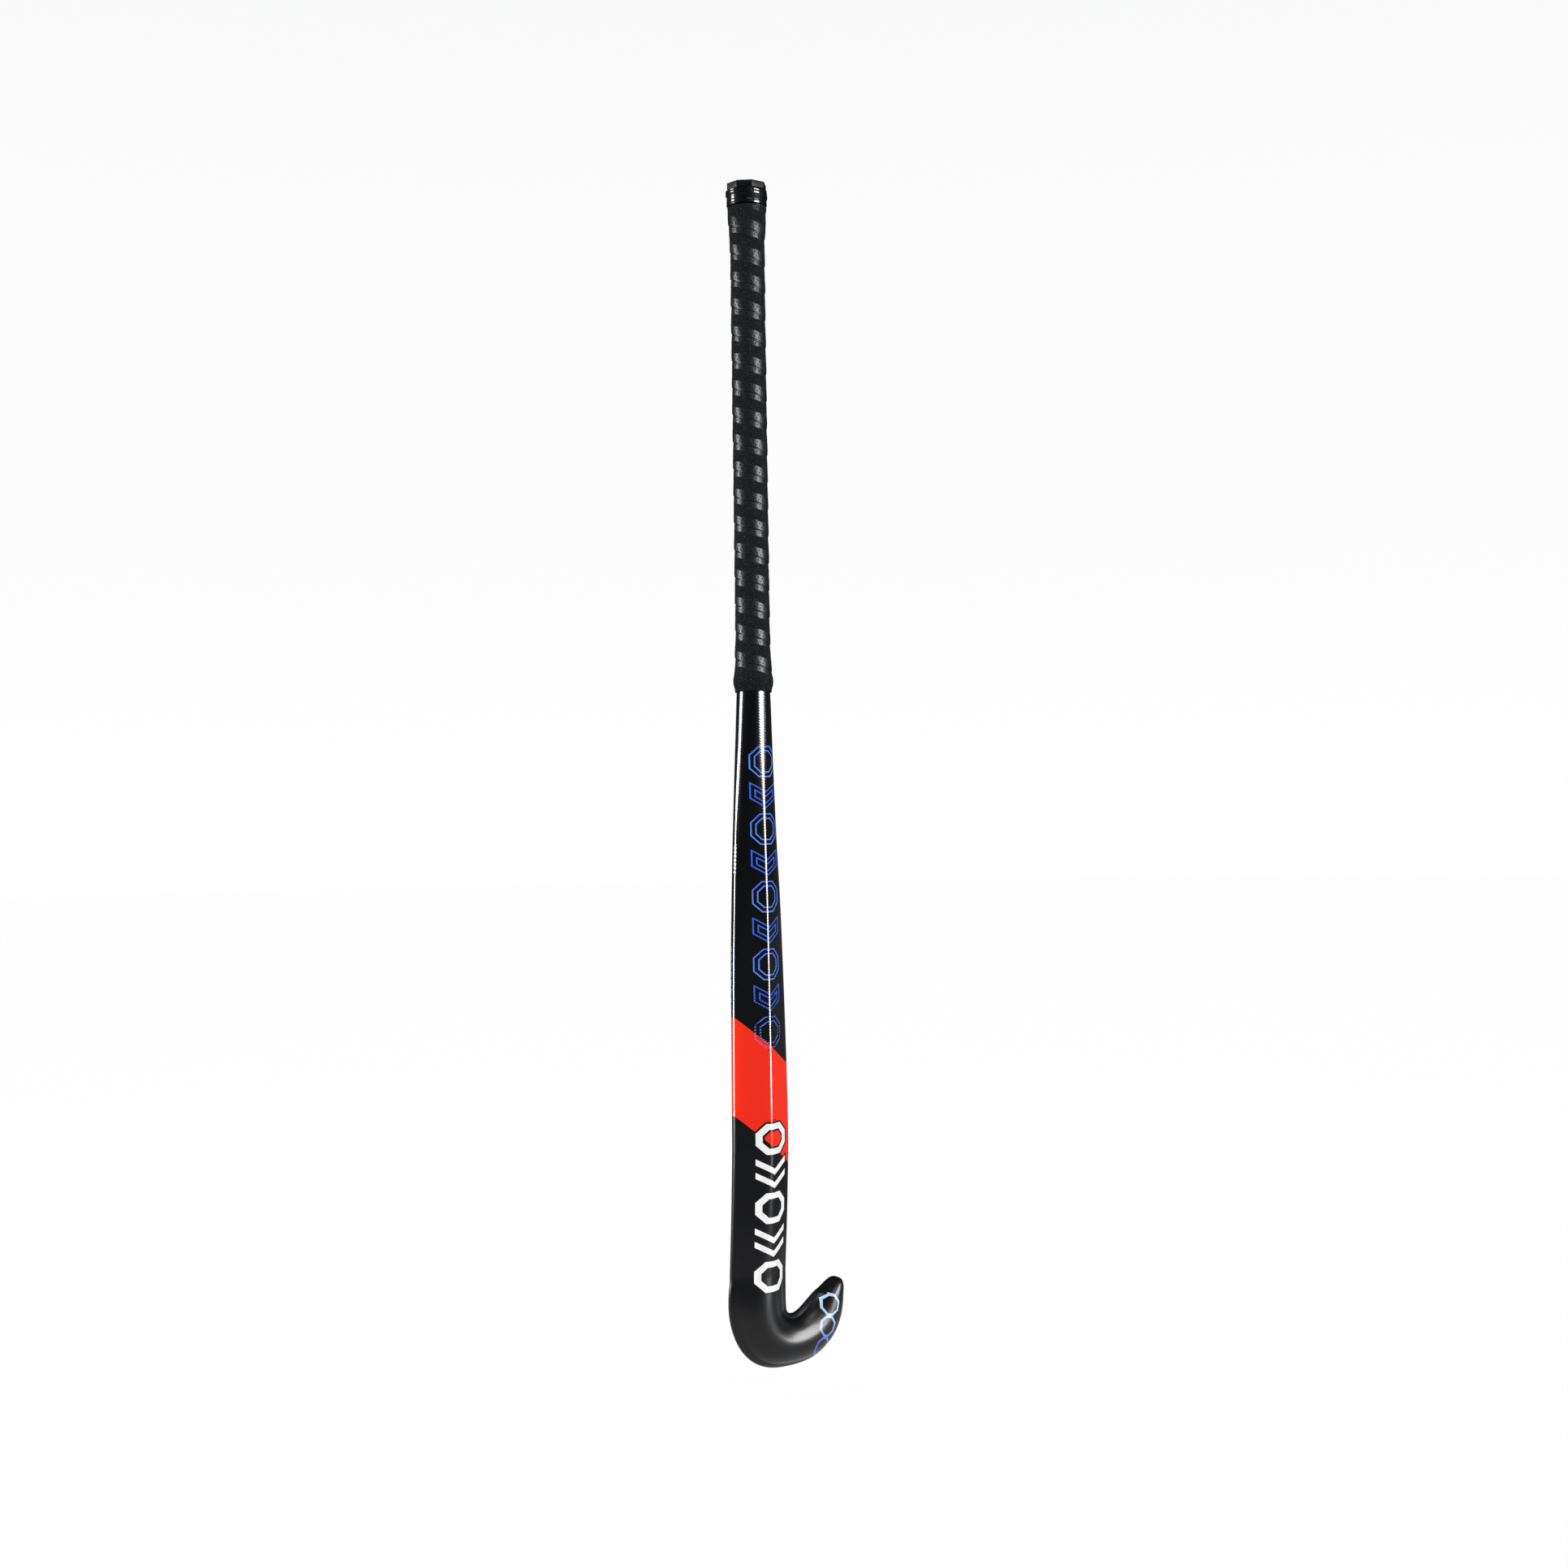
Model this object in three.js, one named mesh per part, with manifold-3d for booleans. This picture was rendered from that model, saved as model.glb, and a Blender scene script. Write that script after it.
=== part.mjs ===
// Field hockey stick, moulded composite, full size.
// Millimetres. +Z runs up the handle, +X points to the toe of the hook, +Y is the side of the flat
// playing face. The origin is the centre of the flat end of the handle, so the stick hangs below it.
// A place on the stick is given by its run: the depth below the handle's end along the straight part,
// and past STRAIGHT the way round the hook, from 0 to HOOK at the tip of the toe.

import * as THREE from "three";
import { mergeVertices } from "three/addons/utils/BufferGeometryUtils.js";
import Module from "manifold-3d";

const wasm = await Module();
wasm.setup();

// ---------------------------------------------------------------- driving dimensions

const LENGTH = 927; // handle end to the lowest point of the hook, 36.5 in
const STRAIGHT = 851; // run at which the hook begins
const HOOK = 100; // run from there to the tip of the toe
const FACE_Y = 9; // plane of the flat playing face on the hook
const FIT_GAP = 0.3; // clearance between neighbouring pieces

const WALL = 2.3; // moulded laminate
const SHELL_TOP = 7.2;
const CAVITY_BOTTOM = STRAIGHT + 86;
const CORE_TOP = 150;
const CORE_BOTTOM = 830;
const WEB_THICKNESS = 1.6;
const PLY_THICKNESS = 1.2;
const PLY_WIDTH_SHARE = 0.7; // of the cavity's width
const PLY_TOP = 690;
const PLY_BOTTOM = STRAIGHT + 56;

const CAP_RADIUS = 15.2;
const CAP_DEPTH = 20;
const CAP_ROOF = 4.6; // depth of the cap's roof at its centre
const CAP_TOP_RADIUS = 3.5; // flat at the cap's middle, from which its top slopes down to the rim
const CAP_RIM_RADIUS = 15.8;
const CAP_RIM_TOP = 3.2;
const CAP_RIM_BOTTOM = 8;
const CAP_FLATS = 8; // flats round the rim
const CAP_TURN = (6 * Math.PI) / 180; // how far the flats are turned from the playing face
const CAP_ROUND_DEPTH = 14; // below this the cap is round
const BAND_THICKNESS = 0.6;
const BAND_TOP = 8.6;
const BAND_BOTTOM = 20.5;
const PLUG_HEAD = 2;
const PLUG_BOTTOM = 46;
const SLEEVE_WALL = 3;

const GRIP_TOP = 21;
const GRIP_BOTTOM = 400;
const UNDERLAY_THICKNESS = 0.4;
const UNDERLAY_BOTTOM = 397;

const TAPER_TOP = 340; // the handle is straight above this
const SIDES = 32; // points round every section

// ---------------------------------------------------------------- shape of the stick

// Stations down the straight part: width, thickness, height of the face plane, roof share, edge height,
// sharpness and softness. The roof share goes from 0, an oval, to 1, a flat face with two facets that
// meet in a back ridge. Sharpness is the exponent that rounds the section's corners, and softness is
// how widely the ridge is rounded, as a share of the section's depth.
const SHAFT_STATIONS = [
  { run: 0, width: 22.2, thick: 22.0, face: 11.0, roof: 0, edge: 11, sharpness: 12, soft: 0.05 },
  { run: 345, width: 22.4, thick: 22.2, face: 11.1, roof: 0, edge: 11, sharpness: 12, soft: 0.05 },
  { run: 375, width: 23.8, thick: 23.2, face: 11.6, roof: 0, edge: 11, sharpness: 12, soft: 0.05 },
  { run: 400, width: 26.8, thick: 25.0, face: 12.5, roof: 0.02, edge: 11, sharpness: 12, soft: 0.05 },
  { run: 440, width: 30.4, thick: 25.2, face: 12.4, roof: 0.12, edge: 11, sharpness: 12, soft: 0.05 },
  { run: 500, width: 36.6, thick: 24.0, face: 9.8, roof: 0.45, edge: 9.8, sharpness: 12, soft: 0.05 },
  { run: 560, width: 42.0, thick: 22.5, face: 6.2, roof: 0.78, edge: 8.4, sharpness: 12, soft: 0.05 },
  { run: 620, width: 45.8, thick: 21.4, face: 4.0, roof: 0.97, edge: 7.2, sharpness: 12, soft: 0.05 },
  { run: 680, width: 48.2, thick: 20.8, face: 2.6, roof: 1, edge: 6.6, sharpness: 12, soft: 0.06 },
  { run: 740, width: 49.6, thick: 20.5, face: 2.2, roof: 1, edge: 6.6, sharpness: 11, soft: 0.1 },
  { run: 790, width: 50.0, thick: 20.6, face: 4.4, roof: 1, edge: 6.4, sharpness: 9, soft: 0.25 },
  { run: STRAIGHT, width: 50.2, thick: 21.0, face: FACE_Y, roof: 1, edge: 6.2, sharpness: 7, soft: 0.5 },
];

// Stations round the hook, where the back grows rounder towards the toe.
const HOOK_STATIONS = [
  { run: STRAIGHT, thick: 21.0, roof: 1, edge: 6.2, sharpness: 7, soft: 0.5 },
  { run: STRAIGHT + 25, thick: 21.5, roof: 1, edge: 6.2, sharpness: 5.5, soft: 0.65 },
  { run: STRAIGHT + 50, thick: 21.5, roof: 0.9, edge: 6.4, sharpness: 4.5, soft: 0.75 },
  { run: STRAIGHT + 75, thick: 20.0, roof: 0.7, edge: 6.2, sharpness: 4, soft: 0.75 },
  { run: STRAIGHT + HOOK, thick: 18.0, roof: 0.4, edge: 6.2, sharpness: 4, soft: 0.75 },
];
const FACE_SHARE = 0.42; // part of the thickness on the face side of a roof section's centre
const FACE_SLACK = 1.03; // lets the plane of the face trim the section, so that it is truly flat
const TIP_FACE_WIDTH = 14; // narrower than this, the toe's face rounds off
const TIP_BACK_WIDTH = 36; // narrower than this, the toe's back thins down

// Outlines of the hook seen square to the face, as Bezier curves: across, and up from the lowest point.
const HOOK_TOP = LENGTH - STRAIGHT;
const HOOK_EDGE = 25.1;
const TOE_TIP = [71, 64.7];
const OUTER_OUTLINE = [
  { until: 0.25, points: [[-HOOK_EDGE, HOOK_TOP], [-HOOK_EDGE, 68], [-26.9, 68], [-26.9, 53]] },
  { until: 0.5, points: [[-26.9, 53], [-26.9, 33], [-16, 0], [20, 0]] },
  { until: 0.75, points: [[20, 0], [39, 0], [76.6, 0], [76.6, 53]] },
  { until: 1, points: [[76.6, 53], [76.6, 59], [75, 64.7], TOE_TIP] },
];
const INNER_OUTLINE = [
  { until: 0.5, points: [[HOOK_EDGE, HOOK_TOP], [HOOK_EDGE, 43], [24, 41], [31, 41]] },
  { until: 0.75, points: [[31, 41], [37, 41], [46.6, 52.4], [52, 55]] },
  { until: 1, points: [[52, 55], [59.2, 58.5], [66, 64.7], TOE_TIP] },
];

// Thickness of the cushion grip: it starts doubled over the cap's edge and ends in a rolled edge.
const GRIP_STATIONS = [
  { run: GRIP_TOP, thick: 3.0 },
  { run: 34, thick: 2.5 },
  { run: 50, thick: 1.4 },
  { run: 80, thick: 1.2 },
  { run: 370, thick: 1.2 },
  { run: 390, thick: 1.3 },
  { run: GRIP_BOTTOM, thick: 0.9 },
];

// Smooth curve through one column of a station list, with no overshoot between stations.
function valueAt(stations, column, run) {
  const last = stations.length - 1;
  const slope = (i) => (stations[i + 1][column] - stations[i][column])
    / (stations[i + 1].run - stations[i].run);
  const tangent = (i) => {
    if (i === 0) return slope(0);
    if (i === last) return slope(last - 1);
    const before = slope(i - 1);
    const after = slope(i);
    return before * after > 0 ? (2 * before * after) / (before + after) : 0;
  };
  const at = Math.min(Math.max(run, stations[0].run), stations[last].run);
  let i = 0;
  while (i < last - 1 && at >= stations[i + 1].run) i += 1;
  const span = stations[i + 1].run - stations[i].run;
  const t = (at - stations[i].run) / span;
  const rise = t * t * (3 - 2 * t);
  return stations[i][column] * (1 - rise) + stations[i + 1][column] * rise
    + span * tangent(i) * t * (1 - t) * (1 - t) - span * tangent(i + 1) * t * t * (1 - t);
}

// Point of an outline at a share of the way round the hook.
function outlinePoint(outline, share) {
  let i = 0;
  while (i < outline.length - 1 && share >= outline[i].until) i += 1;
  const from = i === 0 ? 0 : outline[i - 1].until;
  const corners = outline[i].points.map(([x, up]) => new THREE.Vector2(x, up - LENGTH));
  const curve = new THREE.CubicBezierCurve(...corners);
  return curve.getPoint((share - from) / (outline[i].until - from));
}

// The section at a run: where its centre is, which way its width points, and its shape.
function sectionAt(run) {
  if (run <= STRAIGHT) {
    const roof = valueAt(SHAFT_STATIONS, "roof", run);
    const thick = valueAt(SHAFT_STATIONS, "thick", run);
    const face = valueAt(SHAFT_STATIONS, "face", run);
    const front = thick * (FACE_SHARE * roof + 0.5 * (1 - roof));
    return {
      centre: new THREE.Vector3(0, face - front, -run),
      across: new THREE.Vector3(1, 0, 0),
      half: valueAt(SHAFT_STATIONS, "width", run) / 2,
      front,
      back: thick - front,
      edge: valueAt(SHAFT_STATIONS, "edge", run),
      roof,
      sharpness: valueAt(SHAFT_STATIONS, "sharpness", run),
      soft: valueAt(SHAFT_STATIONS, "soft", run),
    };
  }
  const share = (run - STRAIGHT) / HOOK;
  const outer = outlinePoint(OUTER_OUTLINE, share);
  const inner = outlinePoint(INNER_OUTLINE, share);
  const across = inner.clone().sub(outer);
  const width = across.length();
  across.normalize();
  const centre = inner.clone().add(outer).multiplyScalar(0.5);
  const thick = valueAt(HOOK_STATIONS, "thick", run);
  const rounding = (full) => Math.sqrt(1 - (1 - Math.min(1, width / full)) ** 2);
  return {
    centre: new THREE.Vector3(centre.x, FACE_Y - thick * FACE_SHARE, centre.y),
    across: new THREE.Vector3(across.x, 0, across.y),
    half: width / 2,
    front: thick * FACE_SHARE * rounding(TIP_FACE_WIDTH),
    back: thick * (1 - FACE_SHARE) * rounding(TIP_BACK_WIDTH),
    edge: valueAt(HOOK_STATIONS, "edge", run) * rounding(TIP_BACK_WIDTH),
    roof: valueAt(HOOK_STATIONS, "roof", run),
    sharpness: valueAt(HOOK_STATIONS, "sharpness", run),
    soft: valueAt(HOOK_STATIONS, "soft", run),
  };
}

// Ring of points round a section, moved in from the outer skin by inset.
function ringAt(run, inset) {
  const s = sectionAt(run);
  const half = s.half - inset;
  const front = s.front - inset;
  const back = s.back - inset;
  const drop = s.back + s.front - s.edge;
  const slant = Math.hypot(drop, s.half);
  const facetX = drop / slant;
  const facetY = -s.half / slant;
  const facetDistance = (s.half * s.back) / slant - inset;
  const outline = [];
  for (let i = 0; i < SIDES; i += 1) {
    const angle = (2 * Math.PI * i) / SIDES;
    const ray = new THREE.Vector2(half * Math.cos(angle), ((front + back) / 2) * Math.sin(angle));
    ray.normalize();
    const oval = 1 / Math.hypot(ray.x / half, ray.y / (ray.y > 0 ? front : back));
    const fromRidge = Math.hypot(ray.x, s.soft * ray.y) - s.soft * Math.abs(ray.y);
    const planes = [
      Math.abs(ray.x) / half,
      ray.y / (front * FACE_SLACK),
      (fromRidge * facetX + ray.y * facetY) / facetDistance,
    ];
    const sum = planes.reduce((total, p) => total + Math.max(0, p) ** s.sharpness, 0);
    const reach = oval * (1 - s.roof) + sum ** (-1 / s.sharpness) * s.roof;
    outline.push(ray.multiplyScalar(reach));
  }
  const stretch = half / Math.max(...outline.map((p) => p.x));
  return outline.map((p) => new THREE.Vector3(
    s.centre.x + s.across.x * p.x * stretch,
    s.centre.y + Math.min(p.y, front),
    s.centre.z + s.across.z * p.x * stretch,
  ));
}

// ---------------------------------------------------------------- solids from rings

function geometryFrom(points, triangles) {
  const geometry = new THREE.BufferGeometry();
  geometry.setAttribute("position", new THREE.Float32BufferAttribute(
    points.flatMap((p) => [p.x, p.y, p.z]), 3));
  geometry.setIndex(triangles);
  return geometry;
}

// Triangles between consecutive rings; flip turns them to face inwards.
function bridge(triangles, firstA, firstB, sides, flip) {
  for (let i = 0; i < sides; i += 1) {
    const j = (i + 1) % sides;
    const quad = [firstA + i, firstB + i, firstB + j, firstA + i, firstB + j, firstA + j];
    triangles.push(...(flip ? quad.reverse() : quad));
  }
}

function capRing(points, triangles, first, sides, flip) {
  const middle = new THREE.Vector3();
  for (let i = 0; i < sides; i += 1) middle.addScaledVector(points[first + i], 1 / sides);
  const hub = points.push(middle) - 1;
  for (let i = 0; i < sides; i += 1) {
    const fan = [hub, first + i, first + ((i + 1) % sides)];
    triangles.push(...(flip ? fan.reverse() : fan));
  }
}

// Closed solid through rings listed from the handle down.
function solidFromRings(rings) {
  const sides = rings[0].length;
  const points = rings.flat();
  const triangles = [];
  for (let i = 0; i < rings.length - 1; i += 1) bridge(triangles, i * sides, (i + 1) * sides, sides, false);
  capRing(points, triangles, 0, sides, false);
  capRing(points, triangles, (rings.length - 1) * sides, sides, true);
  return geometryFrom(points, triangles);
}

// Tube open at both ends: rings down the outside, then back up the inside.
function tubeFromRings(outerRings, innerRings) {
  const sides = outerRings[0].length;
  const rings = [...outerRings, ...innerRings.toReversed()];
  const triangles = [];
  rings.forEach((_, i) => {
    bridge(triangles, i * sides, ((i + 1) % rings.length) * sides, sides, false);
  });
  return geometryFrom(rings.flat(), triangles);
}

// Cup open at the top: closed at its lower end both outside and inside.
function cupFromRings(outerRings, innerRings) {
  const sides = outerRings[0].length;
  const points = [...outerRings.flat(), ...innerRings.flat()];
  const inner = outerRings.length * sides;
  const triangles = [];
  for (let i = 0; i < outerRings.length - 1; i += 1) {
    bridge(triangles, i * sides, (i + 1) * sides, sides, false);
  }
  for (let i = 0; i < innerRings.length - 1; i += 1) {
    bridge(triangles, inner + i * sides, inner + (i + 1) * sides, sides, true);
  }
  bridge(triangles, 0, inner, sides, true);
  capRing(points, triangles, (outerRings.length - 1) * sides, sides, true);
  capRing(points, triangles, inner + (innerRings.length - 1) * sides, sides, false);
  return geometryFrom(points, triangles);
}

// Runs evenly spaced in each stretch, given as [from, to, steps].
function runsThrough(...stretches) {
  const runs = [stretches[0][0]];
  stretches.forEach(([from, to, steps]) => {
    for (let i = 1; i <= steps; i += 1) runs.push(from + ((to - from) * i) / steps);
  });
  return runs;
}

function toManifold(geometry) {
  const bare = geometry.clone();
  bare.deleteAttribute("normal");
  bare.deleteAttribute("uv");
  const merged = mergeVertices(bare, 1e-4);
  return new wasm.Manifold(new wasm.Mesh({
    numProp: 3,
    vertProperties: new Float32Array(merged.attributes.position.array),
    triVerts: new Uint32Array(merged.index.array),
  }));
}

function fromManifold(solid) {
  const mesh = solid.getMesh();
  const geometry = new THREE.BufferGeometry();
  geometry.setAttribute("position", new THREE.Float32BufferAttribute(mesh.vertProperties, 3));
  geometry.setIndex(Array.from(mesh.triVerts));
  return geometry;
}

// Upright block between two values of x, deep and tall enough to cut the whole stick.
function blockAcross(fromX, toX) {
  const geometry = new THREE.BoxGeometry(toX - fromX, 200, 2 * LENGTH);
  geometry.translate((fromX + toX) / 2, 0, -LENGTH / 2);
  return toManifold(geometry);
}

// ---------------------------------------------------------------- pieces

const stick = new THREE.Group();
stick.name = "field_hockey_stick";

function addPiece(name, geometry, colour, roughness) {
  const material = new THREE.MeshStandardMaterial({ color: colour, roughness, metalness: 0 });
  const mesh = new THREE.Mesh(geometry, material);
  mesh.name = name;
  stick.add(mesh);
}

// Runs down the shell's cavity, shared by everything that fills it.
const CAVITY_RUNS = runsThrough(
  [SHELL_TOP, TAPER_TOP, 2], [TAPER_TOP, GRIP_BOTTOM, 4], [GRIP_BOTTOM, CORE_BOTTOM, 14],
  [CORE_BOTTOM, STRAIGHT, 1], [STRAIGHT, CAVITY_BOTTOM, 13],
);
const INSIDE = WALL + FIT_GAP; // inset of whatever fills the shell

function filling(from, to) {
  const between = CAVITY_RUNS.filter((run) => run > from + 1 && run < to - 1);
  return toManifold(solidFromRings([from, ...between, to].map((run) => ringAt(run, INSIDE))));
}

// Shell: one moulded laminate, open at the handle's end, closed round the toe.
function shell() {
  const hookEnd = STRAIGHT + HOOK;
  const outer = runsThrough(
    [SHELL_TOP, TAPER_TOP, 2], [TAPER_TOP, GRIP_BOTTOM, 4], [GRIP_BOTTOM, STRAIGHT, 16],
    [STRAIGHT, hookEnd - 4, 20], [hookEnd - 4, hookEnd - 0.8, 3],
  );
  return cupFromRings(
    outer.map((run) => ringAt(run, 0)),
    CAVITY_RUNS.map((run) => ringAt(run, WALL)),
  );
}

// Reinforcing ply: a flat strip laid behind the playing face, grown on all sides by margin.
function facePly(margin) {
  const between = CAVITY_RUNS.filter((run) => run > PLY_TOP + 1 && run < PLY_BOTTOM - 1);
  const rings = [PLY_TOP - margin, ...between, PLY_BOTTOM + margin].map((run) => {
    const s = sectionAt(run);
    const halfWidth = (s.half - WALL) * PLY_WIDTH_SHARE + margin;
    const front = s.front - INSIDE + margin;
    const back = s.front - INSIDE - PLY_THICKNESS - margin;
    const corners = [[halfWidth, back], [halfWidth, front], [-halfWidth, front], [-halfWidth, back]];
    return corners.map(([x, y]) => s.centre.clone().addScaledVector(s.across, x).setY(s.centre.y + y));
  });
  return toManifold(solidFromRings(rings));
}

// Cap: a cup over the handle's end, with a low sloping top inside an eight-sided rim.
function buttCap() {
  const ring = (radius, run, flatShare) => {
    const points = [];
    for (let i = 0; i < SIDES; i += 1) {
      const angle = (2 * Math.PI * i) / SIDES;
      const step = (2 * Math.PI) / CAP_FLATS;
      const offCentre = ((angle + step / 2) % step) - step / 2;
      const flat = Math.cos(step / 2) / Math.cos(offCentre);
      const reach = radius * (1 - flatShare + flatShare * flat);
      const turned = angle + CAP_TURN;
      points.push(new THREE.Vector3(reach * Math.cos(turned), reach * Math.sin(turned), -run));
    }
    return points;
  };
  const body = toManifold(solidFromRings([
    ring(CAP_TOP_RADIUS, 0, 1),
    ring(CAP_RIM_RADIUS, CAP_RIM_TOP, 1),
    ring(CAP_RIM_RADIUS, CAP_RIM_BOTTOM, 1),
    ring(CAP_RADIUS, CAP_RIM_BOTTOM + 0.4, 0.9),
    ring(CAP_RADIUS, CAP_ROUND_DEPTH, 0),
    ring(CAP_RADIUS, CAP_DEPTH, 0),
  ]));
  const mouth = [CAP_ROOF, CAP_DEPTH + 1].map((run) => ringAt(run, -FIT_GAP));
  return body.subtract(toManifold(solidFromRings(mouth)));
}

// Band: a short tube of glossy tape round the cap.
function finishingBand() {
  const inside = CAP_RADIUS + FIT_GAP;
  const outside = inside + BAND_THICKNESS;
  const profile = [
    new THREE.Vector2(inside, -BAND_BOTTOM),
    new THREE.Vector2(outside, -BAND_BOTTOM),
    new THREE.Vector2(outside, -BAND_TOP),
    new THREE.Vector2(inside, -BAND_TOP),
    new THREE.Vector2(inside, -BAND_BOTTOM),
  ];
  const geometry = new THREE.LatheGeometry(profile, SIDES);
  geometry.rotateX(Math.PI / 2);
  return geometry;
}

// Plug: its head rests on the shell's rim and its stem fills the mouth of the handle.
function handlePlug() {
  const headTop = CAP_ROOF + FIT_GAP;
  const stemTop = headTop + PLUG_HEAD;
  return solidFromRings([
    ringAt(headTop, 0),
    ringAt(stemTop, 0),
    ringAt(stemTop, INSIDE),
    ringAt(PLUG_BOTTOM, INSIDE),
  ]);
}

function dampingSleeve() {
  const runs = runsThrough([PLUG_BOTTOM + FIT_GAP, CORE_TOP, 2]);
  return tubeFromRings(
    runs.map((run) => ringAt(run, INSIDE)),
    runs.map((run) => ringAt(run, INSIDE + SLEEVE_WALL)),
  );
}

// Underlay: double-sided tape between the shell and the cushion grip.
function gripUnderlay() {
  const runs = runsThrough([GRIP_TOP, TAPER_TOP, 2], [TAPER_TOP, UNDERLAY_BOTTOM, 4]);
  return tubeFromRings(
    runs.map((run) => ringAt(run, -FIT_GAP - UNDERLAY_THICKNESS)),
    runs.map((run) => ringAt(run, -FIT_GAP)),
  );
}

function cushionGrip() {
  const clearance = 2 * FIT_GAP + UNDERLAY_THICKNESS;
  const runs = runsThrough([GRIP_TOP, 60, 4], [60, TAPER_TOP, 2], [TAPER_TOP, GRIP_BOTTOM, 8]);
  return tubeFromRings(
    runs.map((run) => ringAt(run, -clearance - valueAt(GRIP_STATIONS, "thick", run))),
    runs.map((run) => ringAt(run, -clearance)),
  );
}

// The shaft's filling: a central web where the two moulding bladders meet, and a foam core each side.
const shaftFilling = filling(CORE_TOP + FIT_GAP, CORE_BOTTOM).subtract(facePly(FIT_GAP));
const webHalf = WEB_THICKNESS / 2;
const coreSide = webHalf + FIT_GAP;
const headFilling = filling(CORE_BOTTOM + FIT_GAP, CAVITY_BOTTOM - FIT_GAP).subtract(facePly(FIT_GAP));

addPiece("outer_shell", shell(), 0x141416, 0.28);
addPiece("core_web", fromManifold(shaftFilling.intersect(blockAcross(-webHalf, webHalf))), 0x26262a, 0.5);
addPiece("core_heel_side", fromManifold(shaftFilling.intersect(blockAcross(-LENGTH, -coreSide))), 0xd8cfa8, 1);
addPiece("core_toe_side", fromManifold(shaftFilling.intersect(blockAcross(coreSide, LENGTH))), 0xcfc59a, 1);
addPiece("head_core", fromManifold(headFilling), 0xa89468, 0.8);
addPiece("face_ply", fromManifold(facePly(0)), 0xb99b3c, 0.6);
addPiece("handle_plug", handlePlug(), 0x4a4a4e, 0.8);
addPiece("damping_sleeve", dampingSleeve(), 0x3b5f8a, 0.7);
addPiece("butt_cap", fromManifold(buttCap()), 0x101012, 0.35);
addPiece("finishing_band", finishingBand(), 0x0c0c0e, 0.15);
addPiece("grip_underlay", gripUnderlay(), 0xe4e0d4, 0.9);
addPiece("cushion_grip", cushionGrip(), 0x1a1a1c, 0.85);

export default stick;
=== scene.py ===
import math

import bpy
import numpy as np
from mathutils import Matrix, Vector


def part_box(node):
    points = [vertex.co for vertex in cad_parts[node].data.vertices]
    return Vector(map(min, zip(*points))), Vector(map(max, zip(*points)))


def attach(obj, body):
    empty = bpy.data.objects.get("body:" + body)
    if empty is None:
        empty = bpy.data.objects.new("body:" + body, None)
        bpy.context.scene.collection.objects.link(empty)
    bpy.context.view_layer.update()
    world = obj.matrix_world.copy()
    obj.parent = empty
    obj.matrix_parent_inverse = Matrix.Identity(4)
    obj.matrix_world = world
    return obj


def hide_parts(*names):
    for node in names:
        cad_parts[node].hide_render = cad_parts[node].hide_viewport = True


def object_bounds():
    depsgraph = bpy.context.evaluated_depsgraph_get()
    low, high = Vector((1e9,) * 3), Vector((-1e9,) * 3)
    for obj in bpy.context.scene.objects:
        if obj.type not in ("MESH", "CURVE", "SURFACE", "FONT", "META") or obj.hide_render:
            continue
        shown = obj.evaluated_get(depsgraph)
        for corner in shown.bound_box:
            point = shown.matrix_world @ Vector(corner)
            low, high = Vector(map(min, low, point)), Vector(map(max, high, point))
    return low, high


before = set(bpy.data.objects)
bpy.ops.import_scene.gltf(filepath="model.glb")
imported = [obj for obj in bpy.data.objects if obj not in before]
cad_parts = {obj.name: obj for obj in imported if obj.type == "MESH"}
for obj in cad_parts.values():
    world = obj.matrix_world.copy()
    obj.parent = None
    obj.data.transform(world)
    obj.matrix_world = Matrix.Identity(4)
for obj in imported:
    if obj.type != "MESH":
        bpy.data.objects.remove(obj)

# Field hockey stick. Lengths are millimetres, but metres in made meshes and in the last section.
# A place on the stick is its run: the depth below the handle's end, and past STRAIGHT the way round the hook.

CAD_LOW, CAD_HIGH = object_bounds()
MM = 0.001

# ------------------------------------------------------------------ driving sizes, as in the CAD model

def top_of(node):
    """Run at which a CAD node starts."""
    return -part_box(node)[1][2] / MM


def bottom_of(node):
    """Run at which a CAD node ends."""
    return -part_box(node)[0][2] / MM


LENGTH = 927.0               # from the handle's end to the lowest point of the hook
STRAIGHT = 851.0             # run where the hook starts to curl
HOOK = 100.0                 # run covered by the hook
FACE_Y = 9.0                 # plane of the playing face at the head
WALL = 2.3
SHELL_TOP = top_of("outer_shell")
CAVITY_BOTTOM = STRAIGHT + 86    # run where the shell turns solid
GRIP_TOP = top_of("cushion_grip")
GRIP_BOTTOM = bottom_of("cushion_grip")
GRIP_CLEARANCE = 1.0         # between the shell and the grip's bore, where the underlay lies
CAP_RADIUS = 15.2
CAP_ROOF = 4.6               # run of the closed end of the cap's bore
CAP_DEPTH = bottom_of("butt_cap")
CAP_BORE_GAP = 0.3

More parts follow.
